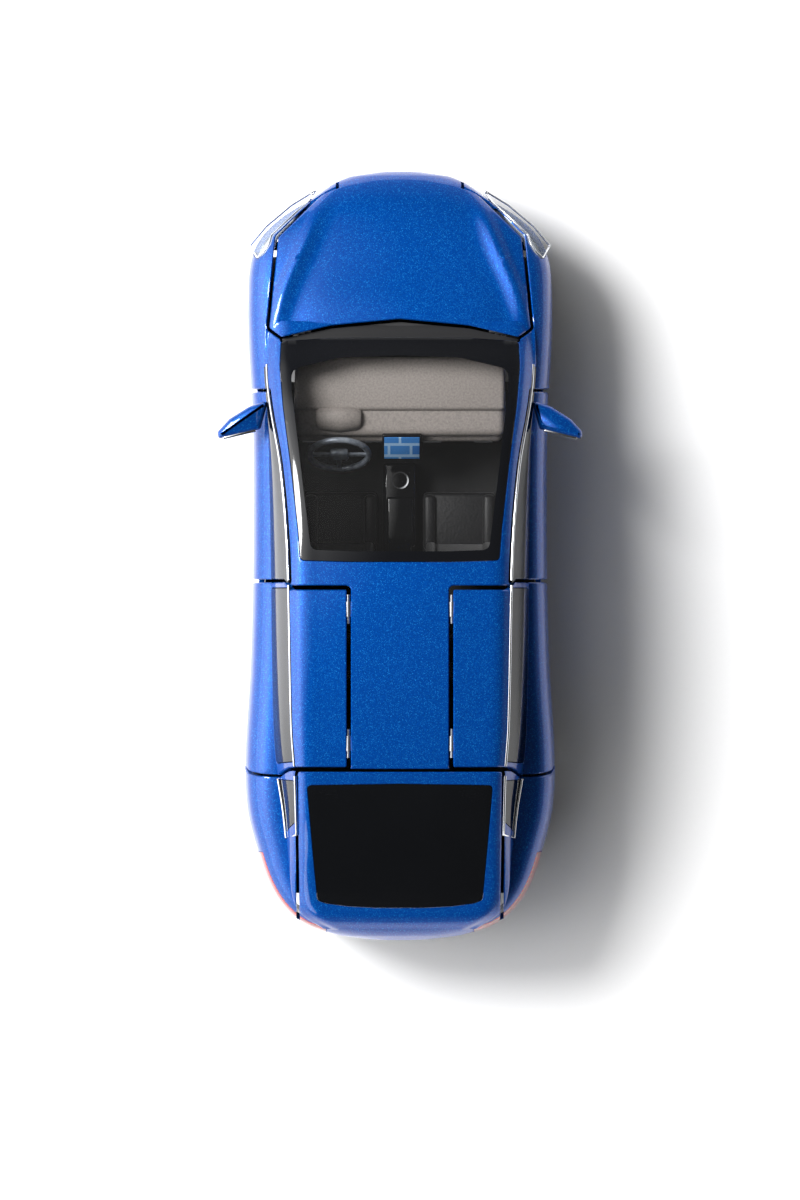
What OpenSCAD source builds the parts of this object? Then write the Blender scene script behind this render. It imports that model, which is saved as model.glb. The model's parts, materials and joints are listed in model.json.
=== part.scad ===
// Pull back car: die-cast crossover with opening bonnet, doors, wing doors and tailgate.
// Front of the car towards -Y, its left side towards +X, ground at z = 0.

/* [Body] */
// Distance from the nose to the front axle
front_overhang = 29; // [26:0.5:35]
// Distance between the axles
wheelbase = 92.5; // [77:0.5:111]
// Distance from the rear axle to the tail
rear_overhang = 35.5; // [31:0.5:43]
// Width over the rear wings
body_w = 63.6; // [53:0.2:76.4]
// Height of the roof above the ground
body_h = 52; // [48:0.5:60]
// Wall of the die-cast shell and of its panels
shell_wall = 1.2; // [1:0.05:1.45]
// Gap round each opening panel
panel_gap = 0.6; // [0.5:0.05:0.75]
// Thickness of the clear and dark windows
glass_wall = 1; // [0.8:0.05:1.2]

/* [Wheels] */
// Outer diameter of a tyre
wheel_d = 24; // [22:0.2:28.8]
// Width of a tyre
tyre_w = 9; // [7.5:0.1:10]
// Diameter of a rim
rim_d = 17; // [14:0.1:18]
// Distance between the outer faces of a pair of tyres
track_w = 62; // [56:0.2:74]
// Space between a tyre and its wheel arch
arch_gap = 1.6; // [1.2:0.1:2.4]
// Diameter of both steel axles
axle_d = 2; // [1.6:0.1:2.4]

/* [Hinges] */
// Diameter of the front door pins
door_pin_d = 1; // [0.8:0.05:1.2]
// Diameter of the bonnet, tailgate and wing door pins
lid_pin_d = 0.8; // [0.6:0.05:0.96]
// Running clearance of each pin and axle in its bore, on the radius
run_gap = 0.05; // [0.03:0.01:0.08]

/* [Motor] */
// Gear module
gear_m = 0.5; // [0.5:0.05:0.6]
// Width inside the motor case
motor_w = 17; // [16:0.5:19]
// Wall of the motor case
case_wall = 1; // [0.8:0.1:1.2]

/* [Hidden] */

// ---- frame ---------------------------------------------------------------
// Shapes are drawn at the nominal proportions: along() places them along the car, and sx and sz
// stretch them across and upwards.
body_len = front_overhang + wheelbase + rear_overhang;
nose_u = -78.5;
front_axle_u = -49.5;
rear_axle_u = 43;
tail_u = 78.5;
nominal_w = 63.6;
nominal_h = 52;
front_axle_y = -body_len / 2 + front_overhang;
rear_axle_y = front_axle_y + wheelbase;
wheel_r = wheel_d / 2;
axle_z = wheel_r;
arch_r = wheel_r + arch_gap;
sx = body_w / nominal_w;
sz = body_h / nominal_h;
far = 60;
seam = panel_gap / 2;
fit = 0.04;

LENGTH_MAP = [[nose_u, -body_len / 2], [front_axle_u, front_axle_y], [rear_axle_u, rear_axle_y],
    [tail_u, body_len / 2]];
function along(u) = u < nose_u ? u - nose_u - body_len / 2
    : u > tail_u ? u - tail_u + body_len / 2 : lookup(u, LENGTH_MAP);

// ---- smooth curves through a few points ------------------------------------
function step_of(t, u, i = 0) = i >= len(t) - 2 || u < t[i + 1][0] ? i : step_of(t, u, i + 1);
function slope_at(t, i) = let (a = max(i - 1, 0), b = min(i + 1, len(t) - 1))
    (t[b][1] - t[a][1]) / (t[b][0] - t[a][0]);
function curve(t, u) =
    let (i = step_of(t, u), h = t[i + 1][0] - t[i][0], s = min(max((u - t[i][0]) / h, 0), 1),
        a = t[i][1], b = t[i + 1][1], m = slope_at(t, i) * h, n = slope_at(t, i + 1) * h)
    a + s * (m + s * (3 * (b - a) - 2 * m - n + s * (2 * (a - b) + m + n)));

// Half width of the body, and heights of its centre line, shoulder and lower edge
HALF_W = [[-78.5, 5], [-77.6, 10.6], [-76, 14], [-73, 18.2], [-69, 24.4], [-65, 28.4], [-60, 30.6],
    [-52, 31.2], [-42, 31], [-28, 30.2], [0, 30.1], [22, 30.6], [42, 31.8], [52, 31.2], [60, 29.2],
    [67, 26.8], [72, 23.6], [75.5, 19.2], [77.6, 13], [78.5, 7]];
DECK = [[-78.5, 21.5], [-77.6, 23.8], [-76, 25.4], [-72, 27.8], [-66, 29.9], [-58, 32],
    [-48, 34.5], [-40, 34.6], [0, 34.6], [40, 35.6], [66, 35.8], [74, 35.2], [77, 32.6],
    [78.5, 28.5]];
SHOULDER = [[-78.5, 20.5], [-76, 24], [-72, 26], [-66, 28], [-58, 30.2], [-48, 32.3], [-36, 33.2],
    [0, 33.6], [30, 34.4], [50, 34.8], [66, 34.2], [74, 32.6], [77, 30], [78.5, 26.5]];
SILL = [[-78.5, 9.5], [-76, 7.6], [-68, 6.4], [66, 6.4], [74, 8], [78.5, 12]];
// Greenhouse: roof height, half width and drop of the rail, half width and height of the belt
ROOF = [[-47.5, 34.2], [-44, 36], [-38, 39.6], [-30, 43.6], [-18, 48], [-5, 50.9], [6, 51.8],
    [14, 52], [25, 51.7], [34, 50.9], [43, 49.6], [52, 46.8], [62, 42.8], [70, 39.6], [74, 38],
    [76, 35.6]];
RAIL_X = [[-47.5, 26.6], [-38, 27], [-30, 26.2], [-18.6, 24.2], [-5, 22.9], [7, 22.4], [35, 21.8],
    [44, 21.2], [58, 20.9], [70, 20.9], [76, 19.5]];
RAIL_DROP = [[-47.5, 1.8], [-38, 4.5], [-30, 4.6], [-18, 3.6], [-5, 3], [7, 2.6], [25, 2.3],
    [76, 1.8]];
BELT_X = [[-47.5, 27.2], [-38, 27.4], [-30, 27], [-18, 26.6], [0, 26.3], [25, 26], [40, 25.4],
    [52, 23.6], [62, 22.6], [70, 22], [76, 20.2]];
BELT_Z = [[-47.5, 32.4], [-38, 33.6], [0, 34.2], [30, 35], [50, 36], [60, 36.6], [70, 36],
    [76, 33.5]];

function rail_z(u) = sz * (curve(ROOF, u) - curve(RAIL_DROP, u));
function belt_z(u) = sz * curve(BELT_Z, u);
// Height of the roof at a place across it, x, as the greenhouse section draws it
function roof_z(u, x) = sz * curve(ROOF, u) - sz * curve(RAIL_DROP, u) * lookup(
    x / (sx * curve(RAIL_X, u)), [[0, 0], [0.35, 0.04], [0.7, 0.18], [0.9, 0.36], [1, 1]]);

function both_sides(half) = concat(half, [for (i = [len(half) - 1:-1:0]) [-half[i][0], half[i][1]]]);

function lower_section(u) =
    let (w = sx * curve(HALF_W, u), t = curve(DECK, u), s = curve(SHOULDER, u), f = curve(SILL, u),
        h = s - f)
    both_sides([for (p = [[0, t], [0.45, t - 0.15 * (t - s)], [0.7, t - 0.5 * (t - s)], [0.86, s],
        [0.945, s - 0.07 * h], [0.985, s - 0.18 * h], [1, s - 0.36 * h], [0.99, s - 0.72 * h],
        [0.94, f]]) [p[0] * w, p[1] * sz]]);

function upper_section(u, drop) =
    let (z = curve(ROOF, u), d = curve(RAIL_DROP, u), x = curve(RAIL_X, u), b = curve(BELT_X, u),
        c = curve(BELT_Z, u))
    both_sides([for (p = [[0, z], [0.35 * x, z - 0.04 * d], [0.7 * x, z - 0.18 * d],
        [0.9 * x, z - 0.36 * d], [x, z - d], [(x + b) / 2 + 0.4, (z - d + c) / 2], [b, c],
        [b, c - drop]]) [p[0] * sx, p[1] * sz]]);

LOWER_STATIONS = [-78.5, -77.9, -77, -75.4, -73, -70, -66.5, -62.5, -57, -49.5, -40, -30, -15, 0,
    15, 30, 37, 43, 50, 57, 63, 68, 72, 75, 77, 78, 78.5];
UPPER_STATIONS = [-47.5, -44, -41, -38, -34, -30, -24, -18, -11, -5, 1, 7, 14, 21, 28, 35, 43, 48,
    54, 62, 70, 73, 75, 76];
slab = 0.02;
end_zone = 60;
end_blend = 10;
function inward(u, t) = -sign(u) * t * min(max((abs(u) - end_zone) / end_blend, 0), 1);

module section_slab(u, points, inset)
    translate([0, along(u) + inward(u, inset) + slab / 2, 0]) rotate([90, 0, 0])
        linear_extrude(slab) offset(delta = -inset) polygon(points);

// Lower body, moved inwards by inset
module lower_form(inset)
    for (i = [0:len(LOWER_STATIONS) - 2]) hull() {
        section_slab(LOWER_STATIONS[i], lower_section(LOWER_STATIONS[i]), inset);
        section_slab(LOWER_STATIONS[i + 1], lower_section(LOWER_STATIONS[i + 1]), inset);
    }

// Greenhouse, moved inwards by inset, reaching down by drop below the belt
module upper_form(inset, drop)
    for (i = [0:len(UPPER_STATIONS) - 2]) hull() {
        section_slab(UPPER_STATIONS[i], upper_section(UPPER_STATIONS[i], drop), inset);
        section_slab(UPPER_STATIONS[i + 1], upper_section(UPPER_STATIONS[i + 1], drop), inset);
    }

roof_overlap = 3;
cavity_drop = 9;
module whole_form(inset, drop = roof_overlap) {
    lower_form(inset);
    upper_form(inset, drop);
}
// Layer of the body between two depths below its surface
module layer(outer, inner) difference() {
    whole_form(outer);
    whole_form(inner, cavity_drop);
}

// ---- outlines --------------------------------------------------------------
function plan_points(half) = both_sides([for (p = half) [p[0] * sx, along(p[1])]]);
module plan_cut(half, grow, z0, z1)
    translate([0, 0, z0]) linear_extrude(z1 - z0) offset(delta = grow) polygon(plan_points(half));
// A side outline of [station, height] points, drawn from x0 outwards on the car's left
module side_cut(points, grow, x0)
    translate([x0, 0, 0]) rotate([90, 0, 90]) linear_extrude(far)
        offset(delta = grow) polygon([for (p = points) [along(p[0]), p[1]]]);
module left_and_right() {
    children();
    mirror([1, 0, 0]) children();
}
// Stands its children, drawn about the x axis, on a line across the car
module across(x, y, z) translate([x, y, z]) rotate([0, 90, 0]) children();
module arch_cut(grow) for (y = [front_axle_y, rear_axle_y])
    translate([0, y, axle_z]) rotate([0, 90, 0])
        cylinder(r = arch_r + grow, h = 2 * far, center = true, $fn = 64);

BONNET = [[13.2, -84], [13.4, -76.4], [16, -74], [18.2, -71.8], [25.1, -64.9], [26.9, -46],
    [24.1, -43.9], [14, -46.3], [0, -47.6]];
COWL = [[0, -44.2], [24.1, -43.4], [24.1, -43.9], [14, -46.3], [0, -47.6]];
COWL_SEAT = [[0, -43.8], [22, -43], [22, -41.8], [0, -42.6]];
WINDSCREEN = [[0, -44.2], [24.1, -43.4], [24.3, -38], [23.6, -30], [22, -18], [20.4, -5],
    [20, 1.2], [0, 1.6]];
TAILGATE = [[0, 43.45], [20.9, 43.45], [20.8, 58], [20.7, 71], [20.7, 84], [0, 84]];
REAR_GLASS = [[0, 46.2], [18.7, 46.5], [17.6, 60], [16.9, 70.6], [9, 71.6], [0, 72]];
HEADLIGHT = [[16.6, -75.6], [22.4, -72], [27.6, -67.6], [31, -63.5], [29.2, -60.2], [27.6, -61.6],
    [26.4, -63.4], [25.9, -65.2], [18.8, -71.9]];
bonnet_low_z = 17 * sz;
tailgate_low_z = 22.5 * sz;
door_low_z = 9.8 * sz;
door_front_u = -33.4;
door_rear_u = 5.3;
roof_seam_u = 6.8;
wing_rear_u = 43.1;
wing_in_x = 10.4 * sx;
hinge_slot = 0.6 * sx;
lamp_z = [27 * sz, 31.8 * sz];
head_low_z = 23 * sz;

function rail_line(u0, u1, dz) = [for (i = [0:8]) let (u = u0 + (u1 - u0) * i / 8) [u, rail_z(u) + dz]];
FRONT_DOOR = concat([[door_front_u - 0.2, door_low_z], [door_rear_u, door_low_z],
    [door_rear_u, 46 * sz]], rail_line(roof_seam_u - 0.4, door_front_u, -0.1));
WING_DOOR = [[door_rear_u, door_low_z], [door_rear_u, 46 * sz], [roof_seam_u, 49 * sz],
    [roof_seam_u, far], [wing_rear_u, far], [wing_rear_u + 0.2, 46 * sz], [45, 36 * sz],
    [44.2, 31 * sz], [42.6, 26 * sz], [40, door_low_z]];
FRONT_QUARTER = concat([[door_front_u, 33 * sz], [-38.5, 33 * sz]],
    rail_line(-38.5, door_front_u, -0.1));
REAR_QUARTER = concat([[45.4, belt_z(45.4) + 0.4]], rail_line(45.4, 54, -0.5), [[56.5, belt_z(56) + 1]]);
trim_h = 0.5;
trim_deep = 0.4;
trim_proud = 0.12;
FRONT_TRIM = concat(rail_line(-39, roof_seam_u - 1, 0), rail_line(roof_seam_u - 1, -39, trim_h));
REAR_TRIM = concat(rail_line(wing_rear_u + 1.4, 57, -trim_h), rail_line(57, wing_rear_u + 1.4, 0));
rear_side_x = 21.25 * sx;

// The bonnet keeps clear of the steep cheeks beside the nose
cheek_x = 12.8 * sx;
cheek_u = -70.5;
cheek_z = 24.8 * sz;
module bonnet_zone(grow) difference() {
    plan_cut(BONNET, grow, bonnet_low_z - grow, far);
    left_and_right() translate([cheek_x + grow, -far - body_len / 2, 0])
        cube([far, far + body_len / 2 + along(cheek_u) - grow, cheek_z - grow]);
}
module front_door_zone(grow) difference() {
    side_cut(FRONT_DOOR, grow, 13 * sx);
    arch_cut(1.4 - grow);
}
module wing_door_zone(grow) difference() {
    side_cut(WING_DOOR, grow, wing_in_x + (grow > 0 ? -hinge_slot : hinge_slot));
    arch_cut(grow > 0 ? -0.1 : 0);
}

// ---- hinge places -----------------------------------------------------------
tailgate_arm_x = 14 * sx;
bonnet_arm_x = 20.5 * sx;
lid_axis_depth = 1.6;
bonnet_axis_u = -45.5;
bonnet_axis_y = along(bonnet_axis_u);
bonnet_axis_z = roof_z(bonnet_axis_u, bonnet_arm_x) - lid_axis_depth;
tailgate_axis_u = 47.75;
tailgate_axis_y = along(tailgate_axis_u);
tailgate_axis_z = roof_z(tailgate_axis_u, tailgate_arm_x) - lid_axis_depth;
door_axis_x = 27.6 * sx;
door_axis_y = along(door_front_u) + 5.8;
wing_lugs = [11, 38];
wing_axis_depth = 0.85;
wing_axis_z = [for (u = wing_lugs) roof_z(u, wing_in_x) - wing_axis_depth];
wing_axis_run = along(wing_lugs[1]) - along(wing_lugs[0]);
wing_axis_tilt = atan((wing_axis_z[1] - wing_axis_z[0]) / wing_axis_run);

// ---- body shell --------------------------------------------------------------
post_r = 2.2;
post_hole_r = 1.05;
chassis_z = axle_z - 6.4;
chassis_t = 1.6;
chassis_top = chassis_z + chassis_t;
FRONT_POST = [13, -66];
REAR_POST = [14, 66];
bow_depth = shell_wall + 0.3;
bow_wall = 1.2;

bow_front_y = along(39.8);
bow_rear_y = along(42.4);
flank_x = 21.5 * sx;
flank_rear_y = along(49.5);
flank_low_z = 20 * sz;
module roof_bow() {
    intersection() {
        layer(bow_depth, bow_depth + bow_wall);
        union() {
            translate([-far, bow_front_y, flank_low_z]) cube([2 * far, bow_rear_y - bow_front_y, far]);
            left_and_right() translate([flank_x, bow_front_y, flank_low_z])
                cube([far, flank_rear_y - bow_front_y, far]);
        }
    }
    intersection() {
        layer(shell_wall - 0.2, bow_depth + bow_wall);
        union() {
            translate([-9.4 * sx, bow_front_y, 30 * sz]) cube([18.8 * sx, bow_rear_y - bow_front_y, far]);
            left_and_right() translate([flank_x, along(46), flank_low_z])
                cube([far, flank_rear_y - along(46), far]);
        }
    }
}

// A bar across the body below each lid's hinge line, and the ears on it that carry the pins
ear_t = 1;
ear_gap = 0.2;
ear_r = lid_pin_d / 2 + 0.3;
header_drop = 3.8;
header_h = 1.6;
header_half_y = 0.8;
module lid_ears(arm_x, y, z) {
    intersection() {
        whole_form(shell_wall - 0.2);
        translate([-far, y - header_half_y, z - header_drop - header_h])
            cube([2 * far, 2 * header_half_y, header_h]);
    }
    left_and_right() for (side = [-1, 1]) {
        x = arm_x + side * (arm_w / 2 + ear_gap + ear_t / 2);
        across(x, y, z) cylinder(r = ear_r, h = ear_t, center = true, $fn = 32);
        translate([x - ear_t / 2, y - ear_r, z - header_drop - 0.1])
            cube([ear_t, 2 * ear_r, header_drop + 0.1]);
    }
}

// Cradles under the ends of the wing doors' pins
cradle_w = 1.2;
module wing_cradles() for (i = [0, 1], y = [-strap_w / 2 - ear_gap - cradle_w, strap_w / 2 + ear_gap])
    at_lug(i) translate([-1.3, y, -1]) cube([1.8, cradle_w, 1]);

module floor_outline(inset) offset(delta = -inset)
    polygon(both_sides([for (u = [-72:6:72]) [sx * curve(HALF_W, u), along(u)]]));
module screw_posts() {
    intersection() {
        whole_form(shell_wall - 0.3);
        union() {
            left_and_right() translate([FRONT_POST[0] * sx - 1, -far - body_len / 2, chassis_top + 1])
                cube([2, far + body_len / 2 + along(FRONT_POST[1]), 4]);
            left_and_right() translate([REAR_POST[0] * sx - 1, along(REAR_POST[1]), chassis_top + 1])
                cube([2, far, 4]);
        }
    }
    for (p = [FRONT_POST, REAR_POST]) left_and_right()
        translate([p[0] * sx, along(p[1]), chassis_top + fit]) cylinder(r = post_r, h = 7, $fn = 32);
}

module body_shell() color("#0a5cb8") difference() {
    union() {
        difference() {
            layer(0, shell_wall);
            bonnet_zone(seam);
            plan_cut(COWL, seam, 30 * sz, far);
            plan_cut(WINDSCREEN, 0.06, 30 * sz, far);
            plan_cut(TAILGATE, seam, tailgate_low_z - seam, far);
            left_and_right() {
                front_door_zone(seam);
                wing_door_zone(seam);
                side_cut(FRONT_QUARTER, fit, 20 * sx);
                side_cut(REAR_QUARTER, fit, rear_side_x - fit);
                translate([0, 0, head_low_z]) linear_extrude(far) offset(delta = fit)
                    polygon([for (p = HEADLIGHT) [p[0] * sx, along(p[1])]]);
                lamp_zone(fit);
            }
            intersection() {
                layer(-1, trim_deep);
                left_and_right() {
                    side_cut(FRONT_TRIM, fit, 12 * sx);
                    side_cut(REAR_TRIM, fit, rear_side_x - fit);
                }
            }
            intersection() {
                layer(-1, 0.5);
                translate([-9.9 * sx, along(roof_seam_u), 45 * sz])
                    cube([19.8 * sx, along(wing_rear_u) - along(roof_seam_u), far]);
                left_and_right() translate([9.35 * sx, along(roof_seam_u), 45 * sz])
                    cube([far, along(wing_rear_u) - along(roof_seam_u), far]);
            }
            grille_zone(fit, 1);
            diffuser_zone(fit, 1);
            // open underside
            translate([0, 0, -1]) linear_extrude(curve(SILL, 0) * sz + shell_wall + 1.3)
                floor_outline(shell_wall + 0.8);
        }
        roof_bow();
        lid_ears(tailgate_arm_x, tailgate_axis_y, tailgate_axis_z);
        lid_ears(bonnet_arm_x, bonnet_axis_y, bonnet_axis_z);
        left_and_right() wing_cradles();
        screw_posts();
    }
    arch_cut(0);
    for (p = [FRONT_POST, REAR_POST]) left_and_right()
        translate([p[0] * sx, along(p[1]), 0]) cylinder(r = post_hole_r, h = chassis_top + 6, $fn = 24);
    // sockets for the lid and wing pins, and recesses for the wing doors' knuckles
    lid_pins(fit);
    wing_pins(fit);
    left_and_right() wing_knuckles(knuckle_gap);
}

// ---- small outside pieces ------------------------------------------------------
module lamp_zone(grow) translate([21.1 * sx - grow, along(60.5) - grow, lamp_z[0] - grow])
    cube([far, far, lamp_z[1] - lamp_z[0] + 2 * grow]);
module grille_zone(grow, deep) intersection() {
    layer(-deep, 0.8);
    translate([-15 * sx - grow, -far - body_len / 2, 10.4 * sz - grow])
        cube([30 * sx + 2 * grow, far + 8, 3.6 * sz + 2 * grow]);
}
module diffuser_zone(grow, deep) intersection() {
    layer(-deep, 0.8);
    translate([-19 * sx - grow, body_len / 2 - 9, 9 * sz - grow])
        cube([38 * sx + 2 * grow, far, 6 * sz + 2 * grow]);
}
module front_grille() color("#141414") intersection() {
    layer(0, 0.75);
    grille_zone(0, 0);
}
module rear_diffuser() color("#141414") intersection() {
    layer(0, 0.75);
    diffuser_zone(0, 0);
}
cowl_depth = 2.4;
cowl_half_w = 17.6 * sx;
cowl_low_z = 30.8 * sz;
module cowl_panel() color("#101012") intersection() {
    union() {
        intersection() {
            whole_form(cowl_depth);
            plan_cut(COWL, 0.8, cowl_low_z, far);
        }
        intersection() {
            whole_form(glass_wall + fit);
            plan_cut(COWL_SEAT, 0, cowl_low_z, far);
        }
    }
    translate([-cowl_half_w, -far, 0]) cube([2 * cowl_half_w, 2 * far, far]);
}
module windscreen() color("#303438") intersection() {
    difference() {
        layer(0.02, glass_wall);
        lower_form(-0.05);
    }
    plan_cut(WINDSCREEN, 0, 30 * sz, far);
}
module window_layer() difference() {
    upper_form(0.02, roof_overlap);
    upper_form(glass_wall, cavity_drop);
    lower_form(-0.05);
}
module quarter_windows() color("#16181a") intersection() {
    window_layer();
    left_and_right() {
        side_cut(FRONT_QUARTER, -fit, 20 * sx);
        side_cut(REAR_QUARTER, 0, rear_side_x);
    }
}
module window_trims() color("silver") intersection() {
    difference() {
        upper_form(-trim_proud, roof_overlap);
        upper_form(trim_deep - fit, cavity_drop);
    }
    left_and_right() {
        side_cut(FRONT_TRIM, -0.02, 12 * sx);
        side_cut(REAR_TRIM, -0.02, rear_side_x);
    }
}
module headlight_zone() left_and_right() translate([0, 0, head_low_z + fit]) linear_extrude(far)
    polygon([for (p = HEADLIGHT) [p[0] * sx, along(p[1])]]);
module headlight_lenses() color("#e8eef2") intersection() {
    layer(0.02, 0.7);
    headlight_zone();
}
module headlight_reflectors() color("#c8ccd0") intersection() {
    layer(0.75, 1.5);
    headlight_zone();
}
module tail_lights() color("#c01018") intersection() {
    layer(0.02, shell_wall);
    left_and_right() lamp_zone(0);
}

// ---- opening panels ------------------------------------------------------------
module bonnet() color("#0a5cb8") intersection() {
    difference() {
        layer(0, shell_wall);
        lid_clearance();
    }
    bonnet_zone(-seam);
}
// Pockets in the bonnet and the tailgate for their hinge eyes, pins and ears
module lid_clearance() left_and_right() for (p = [[tailgate_arm_x, tailgate_axis_y, tailgate_axis_z],
    [bonnet_arm_x, bonnet_axis_y, bonnet_axis_z]]) across(p[0], p[1], p[2]) {
        cylinder(r = eye_r + fit, h = arm_w + 2 * fit, center = true, $fn = 32);
        cylinder(r = ear_r + ear_gap, h = lid_pin_l + 0.6, center = true, $fn = 32);
    }
module front_door() color("#0a5cb8") intersection() {
    difference() {
        lower_form(0);
        whole_form(shell_wall, cavity_drop);
    }
    front_door_zone(-seam);
}
module front_door_left() front_door();
module front_door_right() mirror([1, 0, 0]) front_door();
module front_door_glass() color("#16181a") intersection() {
    window_layer();
    front_door_zone(-seam);
}
module front_door_glass_left() front_door_glass();
module front_door_glass_right() mirror([1, 0, 0]) front_door_glass();

// Flat inner card with the door's hinge knuckle
card_x = 26 * sx;
card_t = 1.3;
card_low_z = 15 * sz;
card_high_z = 31 * sz;
knuckle_r = door_pin_d / 2 + 0.45;
door_pin_top_z = 29 * sz;
module front_door_card() color("#1c1c1e") {
    difference() {
        union() {
            translate([card_x - card_t, door_axis_y, card_low_z])
                cube([card_t, along(3.6) - door_axis_y, card_high_z - card_low_z]);
            translate([card_x - card_t - 1.6, along(-14), 22 * sz]) cube([1.7, along(0) - along(-14), 2.4]);
            translate([card_x - card_t, door_axis_y - 0.6, 18 * sz])
                cube([door_axis_x - card_x + card_t, 1.2, 9 * sz]);
            translate([door_axis_x, door_axis_y, 18 * sz]) cylinder(r = knuckle_r, h = 9 * sz, $fn = 32);
        }
        translate([door_axis_x, door_axis_y, 0])
            cylinder(r = door_pin_d / 2 + run_gap, h = far, $fn = 32);
    }
}
module front_door_card_left() front_door_card();
module front_door_card_right() mirror([1, 0, 0]) front_door_card();

mirror_z = 35.2 * sz;
module mirror_body() color("#0a5cb8") difference() {
    union() {
        hull() {
            translate([28 * sx, along(-29), mirror_z - 0.9]) sphere(r = 0.9, $fn = 24);
            translate([31.5 * sx, along(-27.6), mirror_z]) sphere(r = 1.2, $fn = 24);
        }
        hull() {
            translate([31.5 * sx, along(-27.4), mirror_z]) sphere(r = 1.5, $fn = 24);
            translate([35.7 * sx, along(-24.8), mirror_z]) sphere(r = 1.5, $fn = 24);
            translate([36.3 * sx, along(-23.4), mirror_z]) sphere(r = 1, $fn = 24);
            translate([31.8 * sx, along(-25.6), mirror_z]) sphere(r = 1, $fn = 24);
        }
    }
    mirror_pane(fit);
}
module mirror_pane(grow) translate([34 * sx, along(-24), mirror_z]) rotate([0, 0, 27])
    translate([-2.1 - grow, -0.1 - grow, -1.1 - grow]) cube([4.2 + 2 * grow, 6, 2.2 + 2 * grow]);
module mirror_left() mirror_body();
module mirror_right() mirror([1, 0, 0]) mirror_body();
module mirror_glass() color("#d8dde0") translate([34 * sx, along(-24), mirror_z]) rotate([0, 0, 27])
    translate([-2.1, -0.1, -1.1]) cube([4.2, 0.4, 2.2]);
module mirror_glass_left() mirror_glass();
module mirror_glass_right() mirror([1, 0, 0]) mirror_glass();

module wing_door() color("#0a5cb8") {
    wing_panel();
    // bosses from the roof panel down to the hinge straps
    for (i = [0, 1]) at_lug(i) translate([3.2, -1.2, strap_t - strap_drop + fit])
        cube([3, 2.4, strap_drop - strap_t + 0.1]);
}
module wing_panel() intersection() {
    difference() {
        layer(0, shell_wall);
        wing_window_zone(0);
        intersection() {
            layer(-1, 0.35);
            translate([0, -far, 40 * sz]) cube([wing_in_x + hinge_slot + 0.3, 4 * far, far]);
        }
        wing_knuckles(knuckle_gap);
    }
    wing_door_zone(-seam);
}
// The side window between the belt and the rail
window_front_u = 8.4;
window_rear_u = 41;
module wing_window_zone(grow) intersection() {
    side_cut(concat([[window_front_u, belt_z(door_rear_u) + 0.4], [window_rear_u + 0.8, belt_z(44) + 0.4]],
        rail_line(window_rear_u, window_front_u, -0.2)), grow, 18 * sx);
    difference() {
        upper_form(-2, 0);
        lower_form(-0.05);
    }
}
module wing_door_left() wing_door();
module wing_door_right() mirror([1, 0, 0]) wing_door();
module wing_door_glass() color("#16181a") intersection() {
    window_layer();
    wing_window_zone(-fit);
    wing_door_zone(-seam);
}
module wing_door_glass_left() wing_door_glass();
module wing_door_glass_right() mirror([1, 0, 0]) wing_door_glass();

// Hinge strap: a knuckle on each lug and a bar under the roof panel
strap_w = 3;
strap_t = 0.7;
strap_drop = 1.95;
knuckle_gap = 0.12;
module at_lug(i) translate([wing_in_x, along(wing_lugs[i]), wing_axis_z[i]]) rotate([wing_axis_tilt, 0, 0])
    children();
module wing_knuckles(grow) for (i = [0, 1]) at_lug(i) rotate([90, 0, 0])
    cylinder(r = ear_r + grow, h = strap_w + 2 * grow, center = true, $fn = 32);
module wing_hinge() color("#3a3c40") for (i = [0, 1]) at_lug(i) difference() {
    union() {
        rotate([90, 0, 0]) cylinder(r = ear_r, h = strap_w, center = true, $fn = 32);
        translate([0, -strap_w / 2, -strap_drop]) cube([ear_r, strap_w, strap_drop]);
        translate([0, -strap_w / 2, -strap_drop]) cube([7, strap_w, strap_t]);
    }
    rotate([90, 0, 0]) cylinder(r = lid_pin_d / 2 + run_gap, h = 2 * strap_w, center = true, $fn = 32);
}
module wing_hinge_left() wing_hinge();
module wing_hinge_right() mirror([1, 0, 0]) wing_hinge();
module wing_pins(grow) left_and_right() for (i = [0, 1]) at_lug(i) rotate([90, 0, 0])
    cylinder(r = lid_pin_d / 2 + grow, h = strap_w + 2 * (ear_gap + cradle_w + grow), center = true, $fn = 32);
module wing_hinge_pins() color("#8c9094") wing_pins(0);

module tailgate() color("#0a5cb8") intersection() {
    difference() {
        layer(0, shell_wall);
        plan_cut(REAR_GLASS, fit, 37 * sz, far);
        left_and_right() tailgate_lamp_zone(fit);
        lid_clearance();
    }
    plan_cut(TAILGATE, -seam, tailgate_low_z + seam, far);
}
module rear_glass() color("#0c0d0f") intersection() {
    difference() {
        layer(0.02, glass_wall);
        lid_clearance();
    }
    plan_cut(REAR_GLASS, 0, 37 * sz, far);
}
module tailgate_lamp_zone(grow) translate([15 * sx - grow, body_len / 2 - 12, lamp_z[0] - grow])
    cube([far, far, lamp_z[1] - lamp_z[0] + 2 * grow]);
module tailgate_lights() color("#c01018") intersection() {
    layer(0.02, shell_wall);
    left_and_right() tailgate_lamp_zone(0);
    plan_cut(TAILGATE, -seam, 0, far);
}

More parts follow.
